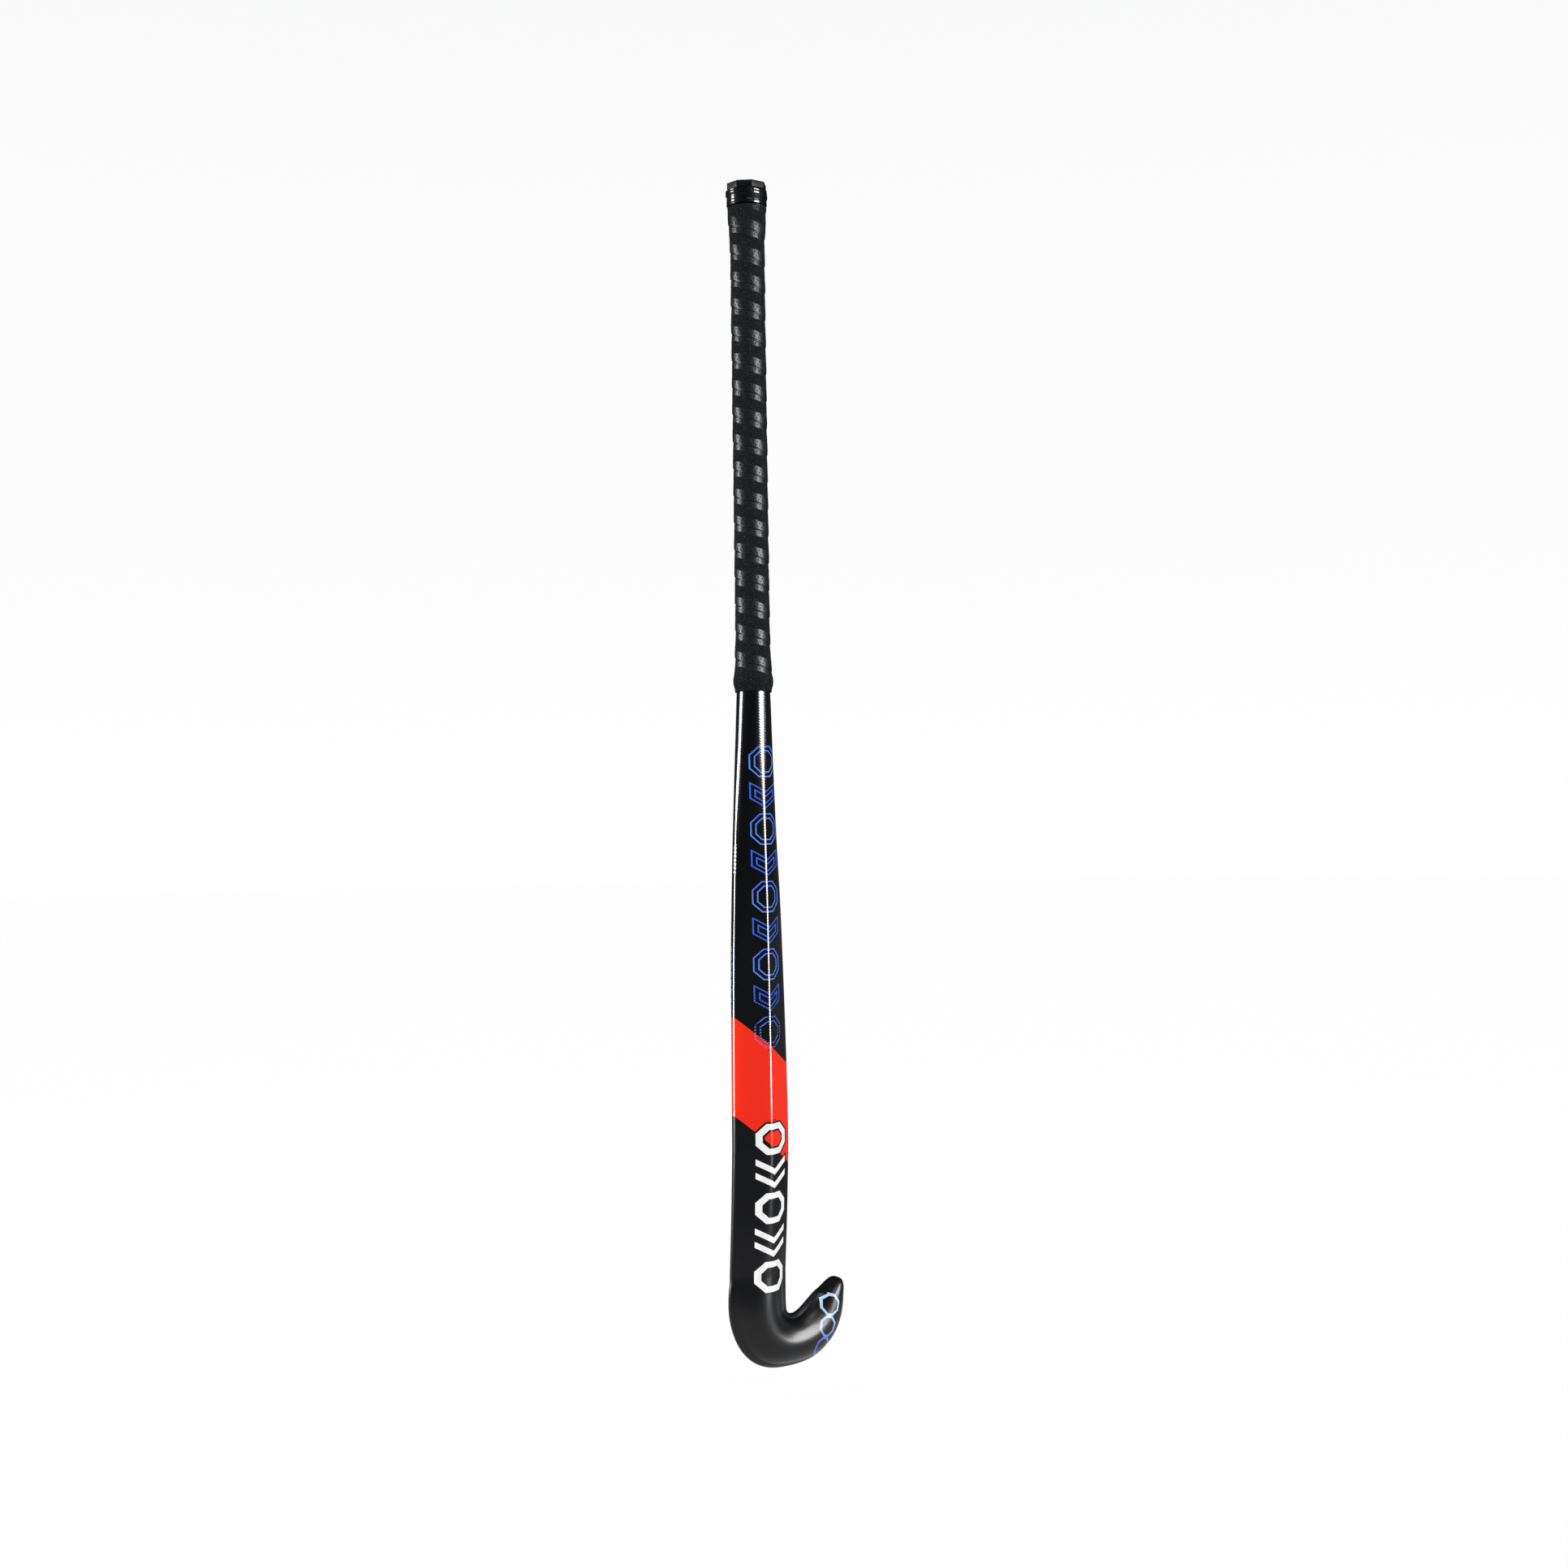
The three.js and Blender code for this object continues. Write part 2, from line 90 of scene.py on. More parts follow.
# run, width, thickness, place of the face plane, roof share (0 oval, 1 ridged back), edge height,
# corner sharpness, ridge softness
SHAFT_STATIONS = np.array([
    (0, 22.2, 22.0, 11.0, 0, 11, 12, 0.05),
    (345, 22.4, 22.2, 11.1, 0, 11, 12, 0.05),
    (375, 23.8, 23.2, 11.6, 0, 11, 12, 0.05),
    (400, 26.8, 25.0, 12.5, 0.02, 11, 12, 0.05),
    (440, 30.4, 25.2, 12.4, 0.12, 11, 12, 0.05),
    (500, 36.6, 24.0, 9.8, 0.45, 9.8, 12, 0.05),
    (560, 42.0, 22.5, 6.2, 0.78, 8.4, 12, 0.05),
    (620, 45.8, 21.4, 4.0, 0.97, 7.2, 12, 0.05),
    (680, 48.2, 20.8, 2.6, 1, 6.6, 12, 0.06),
    (740, 49.6, 20.5, 2.2, 1, 6.6, 11, 0.1),
    (790, 50.0, 20.6, 4.4, 1, 6.4, 9, 0.25),
    (STRAIGHT, 50.2, 21.0, FACE_Y, 1, 6.2, 7, 0.5),
])
# run, thickness, roof share, edge height, corner sharpness, ridge softness
HOOK_STATIONS = np.array([
    (STRAIGHT, 21.0, 1, 6.2, 7, 0.5),
    (STRAIGHT + 25, 21.5, 1, 6.2, 5.5, 0.65),
    (STRAIGHT + 50, 21.5, 0.9, 6.4, 4.5, 0.75),
    (STRAIGHT + 75, 20.0, 0.7, 6.2, 4, 0.75),
    (STRAIGHT + HOOK, 18.0, 0.4, 6.2, 4, 0.75),
])
FACE_SHARE = 0.42            # of a roofed section's thickness, how much lies in front of its widest place
FACE_SLACK = 1.03
TIP_FACE_WIDTH = 14.0        # sections narrower than this thin out in front, as a quarter circle
TIP_BACK_WIDTH = 36.0        # the same behind

HOOK_TOP = LENGTH - STRAIGHT
HOOK_EDGE = 25.1
TOE_TIP = (71, 64.7)
OUTER_OUTLINE = [
    (0.25, [(-HOOK_EDGE, HOOK_TOP), (-HOOK_EDGE, 68), (-26.9, 68), (-26.9, 53)]),
    (0.5, [(-26.9, 53), (-26.9, 33), (-16, 0), (20, 0)]),
    (0.75, [(20, 0), (39, 0), (76.6, 0), (76.6, 53)]),
    (1.0, [(76.6, 53), (76.6, 59), (75, 64.7), TOE_TIP]),
]
INNER_OUTLINE = [
    (0.5, [(HOOK_EDGE, HOOK_TOP), (HOOK_EDGE, 43), (24, 41), (31, 41)]),
    (0.75, [(31, 41), (37, 41), (46.6, 52.4), (52, 55)]),
    (1.0, [(52, 55), (59.2, 58.5), (66, 64.7), TOE_TIP]),
]
# run, thickness of the cushion grip
GRIP_STATIONS = np.array([(21, 3.0), (34, 2.5), (50, 1.4), (80, 1.2), (370, 1.2), (390, 1.3), (400, 0.9)])


def value_at(stations, column, run):
    """Smooth curve through one column of a station list, with no overshoot between stations."""
    x, y = stations[:, 0], stations[:, column]
    slope = np.diff(y) / np.diff(x)
    before, after = slope[:-1], slope[1:]
    tangent = np.zeros(len(x))
    same_way = before * after > 0
    tangent[1:-1][same_way] = 2 * before[same_way] * after[same_way] / (before + after)[same_way]
    tangent[0], tangent[-1] = slope[0], slope[-1]
    run = min(max(run, x[0]), x[-1])
    i = min(int(np.searchsorted(x, run, side="right")) - 1, len(x) - 2)
    span = x[i + 1] - x[i]
    t = (run - x[i]) / span
    rise = t * t * (3 - 2 * t)
    bend = span * t * (1 - t) * (tangent[i] * (1 - t) - tangent[i + 1] * t)
    return y[i] * (1 - rise) + y[i + 1] * rise + bend


def values_at(stations, run):
    return [value_at(stations, column, run) for column in range(1, stations.shape[1])]


def outline_point(outline, share):
    """Point a share of the way round the hook, on an outline of cubic curves."""
    start = 0.0
    for until, corners in outline:
        if share <= until or until == 1.0:
            t = (share - start) / (until - start)
            weights = np.array([(1 - t) ** 3, 3 * t * (1 - t) ** 2, 3 * t * t * (1 - t), t ** 3])
            x, above_bottom = weights @ np.array(corners, float)
            return np.array((x, above_bottom - LENGTH))
        start = until


def section_at(run):
    """Centre of a section, direction of its width (x, z), half width, depths to front and back,
    edge height, roof share, corner sharpness and ridge softness.
    """
    if run <= STRAIGHT:
        width, thick, face, roof, edge, sharpness, soft = values_at(SHAFT_STATIONS, run)
        front = thick * (FACE_SHARE * roof + 0.5 * (1 - roof))
        centre = np.array((0, face - front, -run))
        return centre, np.array((1.0, 0.0)), width / 2, front, thick - front, edge, roof, sharpness, soft
    share = (run - STRAIGHT) / HOOK
    outer, inner = outline_point(OUTER_OUTLINE, share), outline_point(INNER_OUTLINE, share)
    width = float(np.linalg.norm(inner - outer))
    across = (inner - outer) / width
    middle = (inner + outer) / 2
    thick, roof, edge, sharpness, soft = values_at(HOOK_STATIONS, run)
    thin_front, thin_back = (
        math.sqrt(1 - (1 - min(1, width / full)) ** 2) for full in (TIP_FACE_WIDTH, TIP_BACK_WIDTH))
    front = thick * FACE_SHARE * thin_front
    back = thick * (1 - FACE_SHARE) * thin_back
    centre = np.array((middle[0], FACE_Y - thick * FACE_SHARE, middle[1]))
    return centre, across, width / 2, front, back, edge * thin_back, roof, sharpness, soft


def ring_at(run, inset, angles):
    """Points of a section at the given angles, moved in from the outer skin by inset."""
    centre, across, half, front, back, edge, roof, sharpness, soft = section_at(run)
    drop = back + front - edge
    slant = math.hypot(drop, half)
    facet_x, facet_y, facet_distance = drop / slant, -half / slant, half * back / slant - inset
    half, front, back = half - inset, front - inset, back - inset
    ray = np.stack([half * np.cos(angles), (front + back) / 2 * np.sin(angles)], 1)
    ray /= np.linalg.norm(ray, axis=1)[:, None]
    x, y = ray.T
    oval = 1 / np.hypot(x / half, y / np.where(y > 0, front, back))
    from_ridge = np.hypot(x, soft * y) - soft * np.abs(y)
    # the edges, the playing face and the two facets that meet at the back's ridge
    planes = [
        np.abs(x) / half,
        y / (front * FACE_SLACK),
        (from_ridge * facet_x + y * facet_y) / facet_distance,
    ]
    roofed = sum(np.maximum(0, p) ** sharpness for p in planes) ** (-1 / sharpness)
    reach = oval * (1 - roof) + roofed * roof
    x, y = x * reach, np.minimum(y * reach, front)
    x = x * half / max(np.max(x), 1e-9)
    return np.stack([centre[0] + across[0] * x, centre[1] + y, centre[2] + across[1] * x], 1)


# ------------------------------------------------------------------ meshes

def runs_through(*stretches):
    """Evenly spaced runs along stretches of (start, end, steps)."""
    runs = [stretches[0][0]]
    for start, end, steps in stretches:
        runs += [start + (end - start) * i / steps for i in range(1, steps + 1)]
    return runs


def make_object(name, points, faces, uv=None):
    """Object from points in millimetres; uv holds one (u, v) per face corner, in metres."""
    mesh = bpy.data.meshes.new(name)
    mesh.from_pydata((np.asarray(points) * MM).tolist(), [], faces)
    mesh.update()
    if uv is not None:
        layer = mesh.uv_layers.new(name="place")
        layer.data.foreach_set("uv", np.asarray(uv, np.float32).ravel())
    mesh.polygons.foreach_set("use_smooth", [True] * len(mesh.polygons))
    obj = bpy.data.objects.new(name, mesh)
    bpy.context.scene.collection.objects.link(obj)
    return obj


def bridge(faces, first_a, first_b, sides, flip=False):
    """Quads between two rings of points."""
    for i in range(sides):
        j = (i + 1) % sides
        quad = (first_a + i, first_b + i, first_b + j, first_a + j)
        faces.append(quad[::-1] if flip else quad)


def fan(faces, points, first, sides, flip=False):
    """Closes a ring with triangles round its middle."""
    hub = len(points)
    points.append(np.mean(points[first:first + sides], axis=0))
    for i in range(sides):
        corner = (hub, first + i, first + (i + 1) % sides)
        faces.append(corner[::-1] if flip else corner)


def tube(name, outer, inner, uv_outer=None):
    """Tube open at both ends; each ring list runs down from the handle."""
    sides = len(outer[0])
    rings = list(outer) + list(inner)[::-1]
    faces = []
    for i in range(len(rings)):
        bridge(faces, i * sides, (i + 1) % len(rings) * sides, sides)
    points = np.concatenate(rings)
    uv = None
    if uv_outer is not None:
        uv = corner_uv(uv_outer, sides, len(outer) - 1, len(faces))
    return make_object(name, points, faces, uv)


def corner_uv(grid, sides, rows, face_count):
    """Spreads a (rows + 1, sides + 1, 2) grid of places over the corners of the first rows * sides quads."""
    uv = np.zeros((face_count, 4, 2), np.float32)
    uv[:rows * sides, 0] = grid[:-1, :-1].reshape(-1, 2)
    uv[:rows * sides, 1] = grid[1:, :-1].reshape(-1, 2)
    uv[:rows * sides, 2] = grid[1:, 1:].reshape(-1, 2)
    uv[:rows * sides, 3] = grid[:-1, 1:].reshape(-1, 2)
    return uv


# ------------------------------------------------------------------ node maths

class Value:
    """A node socket that arithmetic can be written with."""

    def __init__(self, graph, socket):
        self.graph, self.socket = graph, socket

    def __add__(self, other):
        return self.graph.math("ADD", self, other)

    def __sub__(self, other):
        return self.graph.math("SUBTRACT", self, other)

    def __rsub__(self, other):
        return self.graph.math("SUBTRACT", other, self)

    def __mul__(self, other):
        return self.graph.math("MULTIPLY", self, other)

    def __truediv__(self, other):
        return self.graph.math("DIVIDE", self, other)

    __radd__, __rmul__ = __add__, __mul__


class Graph:
    """The node tree of one new material, and short ways to add to it."""

    def __init__(self, name):
        self.material = bpy.data.materials.new(name)
        self.material.use_nodes = True
        self.tree = self.material.node_tree
        self.tree.nodes.clear()
        self.output = self.node("ShaderNodeOutputMaterial")
        self.bsdf = self.node("ShaderNodeBsdfPrincipled")
        self.link(self.bsdf.outputs[0], self.output.inputs[0])

    def node(self, kind, **settings):
        made = self.tree.nodes.new(kind)
        for key, value in settings.items():
            setattr(made, key, value)
        return made

    def link(self, source, target):
        self.tree.links.new(source, target)

    def put(self, target, value):
        if isinstance(value, Value):
            self.link(value.socket, target)
        else:
            target.default_value = value

    def math(self, operation, *values):
        made = self.node("ShaderNodeMath", operation=operation)
        for target, value in zip(made.inputs, values):
            self.put(target, value)
        return Value(self, made.outputs[0])

    def smallest(self, *values):
        result = values[0]
        for value in values[1:]:
            result = self.math("MINIMUM", result, value)
        return result

    def largest(self, *values):
        result = values[0]
        for value in values[1:]:
            result = self.math("MAXIMUM", result, value)
        return result

    def size(self, value):
        return self.math("ABSOLUTE", value)

    def step(self, value, start, end):
        """0 where value is below start, 1 above end, smooth between; start may be above end."""
        made = self.node("ShaderNodeMapRange", interpolation_type="SMOOTHSTEP")
        flip = start > end
        self.put(made.inputs["Value"], value)
        made.inputs["From Min"].default_value = end if flip else start
        made.inputs["From Max"].default_value = start if flip else end
        made.inputs["To Min"].default_value = 1.0 if flip else 0.0
        made.inputs["To Max"].default_value = 0.0 if flip else 1.0
        return Value(self, made.outputs["Result"])

    def inside(self, distance, blur=0.12):
        """1 where a signed distance in millimetres is below zero."""
        return self.step(distance, blur, -blur)

    def between(self, value, low, high, blur=0.2):
        return self.step(value, low - blur, low + blur) * self.step(value, high + blur, high - blur)

    def split(self, vector, scale=1.0):
        made = self.node("ShaderNodeSeparateXYZ")
        self.link(vector, made.inputs[0])
        parts = [Value(self, socket) for socket in made.outputs]
        return [part * scale for part in parts] if scale != 1.0 else parts

    def combine(self, x=0.0, y=0.0, z=0.0):
        made = self.node("ShaderNodeCombineXYZ")
        for target, value in zip(made.inputs, (x, y, z)):
            self.put(target, value)
        return made.outputs[0]

    def spot(self):
        """Where a point is in the object, as a vector in metres."""
        return self.node("ShaderNodeTexCoord").outputs["Object"]

    def place(self):
        """Where a point is in the object, in millimetres."""
        return self.split(self.spot(), 1 / MM)

    def unrolled(self):
        """A point's place on the unrolled surface, in millimetres."""
        return self.split(self.node("ShaderNodeUVMap", uv_map="place").outputs[0], 1 / MM)[:2]

    def noise(self, vector, scale, detail=2.0, rough=0.5):
        made = self.node("ShaderNodeTexNoise")
        self.link(vector, made.inputs["Vector"])
        made.inputs["Scale"].default_value = scale
        made.inputs["Detail"].default_value = detail
        made.inputs["Roughness"].default_value = rough
        return Value(self, made.outputs["Fac"])

    def cells(self, vector, scale):
        """Distance to the nearest of many scattered points."""
        made = self.node("ShaderNodeTexVoronoi")
        self.link(vector, made.inputs["Vector"])
        made.inputs["Scale"].default_value = scale
        return Value(self, made.outputs["Distance"])

    def mix(self, share, first, second):
        """Colour between two others; each is a colour tuple or a Value that carries a colour."""
        made = self.node("ShaderNodeMix", data_type="RGBA")
        self.put(made.inputs["Factor"], share)
        for target, value in ((made.inputs[6], first), (made.inputs[7], second)):
            self.put(target, value if isinstance(value, Value) else (*value, 1.0))
        return Value(self, made.outputs[2])

    def bump(self, height, distance, strength=1.0):
        """Normal of a surface with the given relief, distance millimetres high."""
        made = self.node("ShaderNodeBump")
        made.inputs["Strength"].default_value = strength
        made.inputs["Distance"].default_value = distance * MM
        self.link(height.socket, made.inputs["Height"])
        return Value(self, made.outputs[0])

    def set(self, **sockets):
        for name, value in sockets.items():
            target = self.bsdf.inputs[name.replace("_", " ")]
            self.put(target, (*value, 1.0) if isinstance(value, tuple) else value)

    def coat(self, weight, rough, normal=None):
        self.put(self.bsdf.inputs["Coat Weight"], weight)
        self.bsdf.inputs["Coat Roughness"].default_value = rough
        self.bsdf.inputs["Coat IOR"].default_value = 1.5
        if normal is not None:
            self.put(self.bsdf.inputs["Coat Normal"], normal)

    def relief(self, height, distance, strength=1.0):
        self.put(self.bsdf.inputs["Normal"], self.bump(height, distance, strength))


def srgb(*levels):
    """Linear colour from 0 to 255 display levels."""
    return tuple((c / 255 / 12.92) if c <= 10 else ((c / 255 + 0.055) / 1.055) ** 2.4 for c in levels)


# ------------------------------------------------------------------ finish of the shell

TOW = 2.1                    # width of one tow of the carbon twill
TOW_CROWN = 3.6              # how round a tow's back is
WALE_SLOPE = 0.75            # how steeply the twill's diagonals come down towards the toe side
WALE_HEIGHT = 0.065
BAND_EDGE = 671.5            # run where the coloured band's upper edge crosses the back's ridge
BAND_HEIGHT = 77.0
BAND_SLOPE_HEEL = 0.95
BAND_SLOPE_TOE = 0.72

# outlined chain of hexagons and chevrons down the back
CHAIN_TOP, CHAIN_BOTTOM = 439.0, 674.0
CHAIN_LINK = 26.1            # length of one link
CHAIN_CENTRE = 1.5
CHAIN_HALF = 11.75
CHAIN_HALF_HEIGHT = 11.6
CHAIN_CORNER = 6.5
CHAIN_FADE = 612.0           # run where the lines start to break into dashes
CHAIN_LINE = 0.5             # half the width of a line
CHAIN_LINE_GAP = 3.4         # between the two lines of an outline
CHEVRON_SLOPE, CHEVRON_SINK, CHEVRON_HALF = 0.62, 3.6, 6.0
DASH, DASH_SLOPE, DASH_LOSS = 2.3, 0.75, 0.62

# bold mark of hexagon rings and paired chevrons near the head
MARK_TOP, MARK_BOTTOM = 730.0, 864.0
MARK_STEP = 26.8
MARK_CENTRE = 3.2
MARK_HALF = 14.6
MARK_HALF_HEIGHT = 9.6
MARK_CORNER = 6.0
MARK_STROKE = 4.7
MARK_RIM = 1.5               # width of the dark rim round it
PAIR_SLOPE, PAIR_SINK, PAIR_HALF = 0.55, 4.0, 5.2

# outlined rhombi along the outer edge of the toe's back
TOE_CHAIN = (59.6, -872.6)    # x and z where they start
TOE_CHAIN_WAY = (-0.235, -0.972)
TOE_CHAIN_STEP = 16.6
TOE_CHAIN_HALF = (6.3, 7.4)
TOE_CHAIN_CORNER = 4.2
TOE_CHAIN_LINE = 0.85

# small dashes on the heel-side edge: first and last run
WHITE_TICKS = (516.0, 538.0)
BLUE_TICKS = (595.0, 649.0)


def chamfered(g, x, y, half_x, half_y, corner):
    """Signed distance to a box with its corners cut off."""
    ax, ay = g.size(x), g.size(y)
    return g.largest(ax - half_x, ay - half_y, (ax + ay - (half_x + half_y - corner)) * 0.7071)


def every_other(g, along):
    """1 in each second whole step, 0 in the others."""
    return g.math("GREATER_THAN", g.math("FLOORED_MODULO", g.math("FLOOR", along), 2.0), 0.5)


def twill(g, u, v):
    """Two-by-two twill: each tow passes over two and under two, one place further on in each row."""
    a, b = u / TOW, v / TOW
    over = g.math("FLOORED_MODULO", g.math("FLOOR", a) - g.math("FLOOR", b), 4.0)
    warp = g.math("LESS_THAN", over, 1.5)
    fa, fb = g.math("FRACT", a) - 0.5, g.math("FRACT", b) - 0.5
    weave = warp * (1.0 - fa * fa * TOW_CROWN) + (1.0 - warp) * (1.0 - fb * fb * TOW_CROWN)
    fibres = g.noise(g.combine(a * 9.0, b * 0.7, 0.0), 1.0, 2.0) * warp \
        + g.noise(g.combine(a * 0.7, b * 9.0, 3.0), 1.0, 2.0) * (1.0 - warp)
    return weave, fibres, warp


def below_band_edge(g, x, run):
    """Distance below the upper edge of the coloured band, which slants across the shaft."""
    slope = g.math("MULTIPLY", x, g.math("LESS_THAN", x, 0.0)) * BAND_SLOPE_HEEL \
        + g.math("MULTIPLY", x, g.math("GREATER_THAN", x, 0.0)) * BAND_SLOPE_TOE
    return run - slope - BAND_EDGE


def back_chain(g, x, run):
    cx = x - CHAIN_CENTRE
    along = (run - CHAIN_TOP) / CHAIN_LINK
    cy = (g.math("FRACT", along) - 0.5) * CHAIN_LINK
    odd = every_other(g, along)
    hexagon = chamfered(g, cx, cy, CHAIN_HALF, CHAIN_HALF_HEIGHT, CHAIN_CORNER)
    bent = cy + g.size(cx) * CHEVRON_SLOPE - CHEVRON_SINK
    chevron = g.largest(g.size(bent) - CHEVRON_HALF, g.size(cx) - CHAIN_HALF)
    body = hexagon * (1.0 - odd) + chevron * odd
    outline = g.largest(
        g.inside(g.size(body) - CHAIN_LINE), g.inside(g.size(body + CHAIN_LINE_GAP) - CHAIN_LINE))
    fade = g.step(run, CHAIN_FADE, CHAIN_BOTTOM)
    dashes = g.math("LESS_THAN", g.math("FRACT", (run + x * DASH_SLOPE) / DASH), 1.0 - fade * DASH_LOSS)
    return outline * dashes * g.between(run, CHAIN_TOP, CHAIN_BOTTOM)


def head_mark(g, x, run):
    """The mark, and the mark with its rim."""
    mx = x - MARK_CENTRE
    along = (run - MARK_TOP) / MARK_STEP
    my = (g.math("FRACT", along) - 0.5) * MARK_STEP
    odd = every_other(g, along)
    half_stroke = MARK_STROKE / 2
    ring = g.size(chamfered(g, mx, my, MARK_HALF - half_stroke, MARK_HALF_HEIGHT, MARK_CORNER)) - half_stroke
    fold = my + g.size(mx) * PAIR_SLOPE - PAIR_SINK
    pair = g.largest(g.size(g.size(fold) - PAIR_HALF) - half_stroke, g.size(mx) - MARK_HALF)
    distance = ring * (1.0 - odd) + pair * odd
    zone = g.between(run, MARK_TOP - MARK_RIM, MARK_BOTTOM + MARK_RIM)
    return g.inside(distance) * zone, g.inside(distance - MARK_RIM) * zone


def edge_ticks(g, y, run, normal_x):
    """White and blue dashes on the heel-side edge."""
    edge = g.step(normal_x, -0.72, -0.85)
    white = g.math("LESS_THAN", g.math("FRACT", run / 3.1), 0.62) * g.inside(g.size(y + 0.5) - 1.3)
    blue = g.math("LESS_THAN", g.math("FRACT", run / 6.6), 0.7) * g.inside(g.size(g.size(y) - 1.6) - 0.5)
    return white * g.between(run, *WHITE_TICKS) * edge, blue * g.between(run, *BLUE_TICKS) * edge


def toe_chain(g, x, z):
    """The rhombi, and how far along them a point is."""
    dx, dz = x - TOE_CHAIN[0], z - TOE_CHAIN[1]
    along = dx * TOE_CHAIN_WAY[0] + dz * TOE_CHAIN_WAY[1]
    across = dx * -TOE_CHAIN_WAY[1] + dz * TOE_CHAIN_WAY[0]
    ty = (g.math("FRACT", along / TOE_CHAIN_STEP) - 0.5) * TOE_CHAIN_STEP
    rhombus = chamfered(g, across, ty, *TOE_CHAIN_HALF, TOE_CHAIN_CORNER)
    return g.inside(g.size(rhombus) - TOE_CHAIN_LINE) * g.between(along, -0.5, TOE_CHAIN_STEP * 3.0), along


def shell_finish():
    g = Graph("carbon_laminate")
    x, y, z = g.place()
    u, v = g.unrolled()
    run = z * -1.0
    normal = g.split(g.node("ShaderNodeNewGeometry").outputs["Normal"])
    back = g.step(normal[1], 0.35, -0.05)
    weave, fibres, warp = twill(g, u, v)
    from_edge = below_band_edge(g, x, run)
    band = g.between(from_edge, 0.0, BAND_HEIGHT, 0.15)
    chain = back_chain(g, x, run) * back
    mark, rim = head_mark(g, x, run)
    mark = mark * back
    rim = rim * back
    white_ticks, blue_ticks = edge_ticks(g, y, run, normal[0])
    toe, toe_along = toe_chain(g, x, z)
    toe = toe * back

    # lacquer: full gloss down to the band, satin below it
    satin = g.step(from_edge, BAND_HEIGHT - 1.0, BAND_HEIGHT + 1.0)
    cloud = g.noise(g.spot(), 38.0, 3.0)
    # painted sheen: the tows' crowns and the warp tows are coloured lighter, standing in for the weave's
    # reflection; the fibre streaks are random tone
    tow_tone_and_sheen = weave * 0.45 + fibres * 0.4 + warp * 0.25
    colour = g.mix(tow_tone_and_sheen * (0.55 + satin * 0.45), srgb(2, 3, 5), srgb(10, 12, 18))
    colour = g.mix(satin * (cloud * 0.5 + 0.25), colour, srgb(5, 6, 9))
    colour = g.mix(band, colour, g.mix(cloud * 0.35, srgb(251, 40, 6), srgb(242, 34, 4)))
    blue_share = g.step(g.math("FRACT", run / 52.0), 0.2, 0.9)
    colour = g.mix(chain, colour, g.mix(blue_share, srgb(56, 104, 232), srgb(92, 138, 240)))
    colour = g.mix(rim, colour, srgb(8, 8, 10))
    colour = g.mix(mark, colour, srgb(248, 248, 248))
    colour = g.mix(white_ticks, colour, srgb(215, 218, 222))
    colour = g.mix(blue_ticks, colour, srgb(70, 120, 225))
    toe_blue = g.mix(g.step(toe_along, 8.0, 42.0), srgb(190, 218, 246), srgb(92, 108, 216))
    colour = g.mix(toe, colour, toe_blue)
    painted = g.largest(band, chain, rim, toe)

    rough = (0.15 + fibres * 0.08) * (1.0 - satin) + (0.29 + cloud * 0.07) * satin
    scuffs = g.noise(g.combine(u * 0.9, v * 0.06, 0.0), 1.0, 4.0)
    rough = rough + g.step(scuffs, 0.62, 0.72) * satin * 0.05
    g.set(Base_Color=colour, Roughness=rough, IOR=1.5, Specular_IOR_Level=0.36)
    # the cloth's relief dies out where the hook curls up
    flat = g.step(v, STRAIGHT + 14, STRAIGHT - 6)
    g.relief(weave * (1.0 - painted * 0.9) * flat, 0.08, 0.12)
    # the weave's diagonal ribs show through the lacquer, most on the toe side
    wale = g.math("SINE", (v - u * WALE_SLOPE) / TOW * (2 * math.pi))
    ribs = g.math("MAXIMUM", wale, -0.2) * (g.step(u, -6.0, 3.0) * 0.8 + 0.2) * (1.0 - band) * flat
    g.coat(1.0 - satin * 0.93, 0.075, g.bump(ribs, WALE_HEIGHT))
    return g.material


# ------------------------------------------------------------------ shell

SHELL_SIDES = 120
TIP = STRAIGHT + HOOK - 0.35


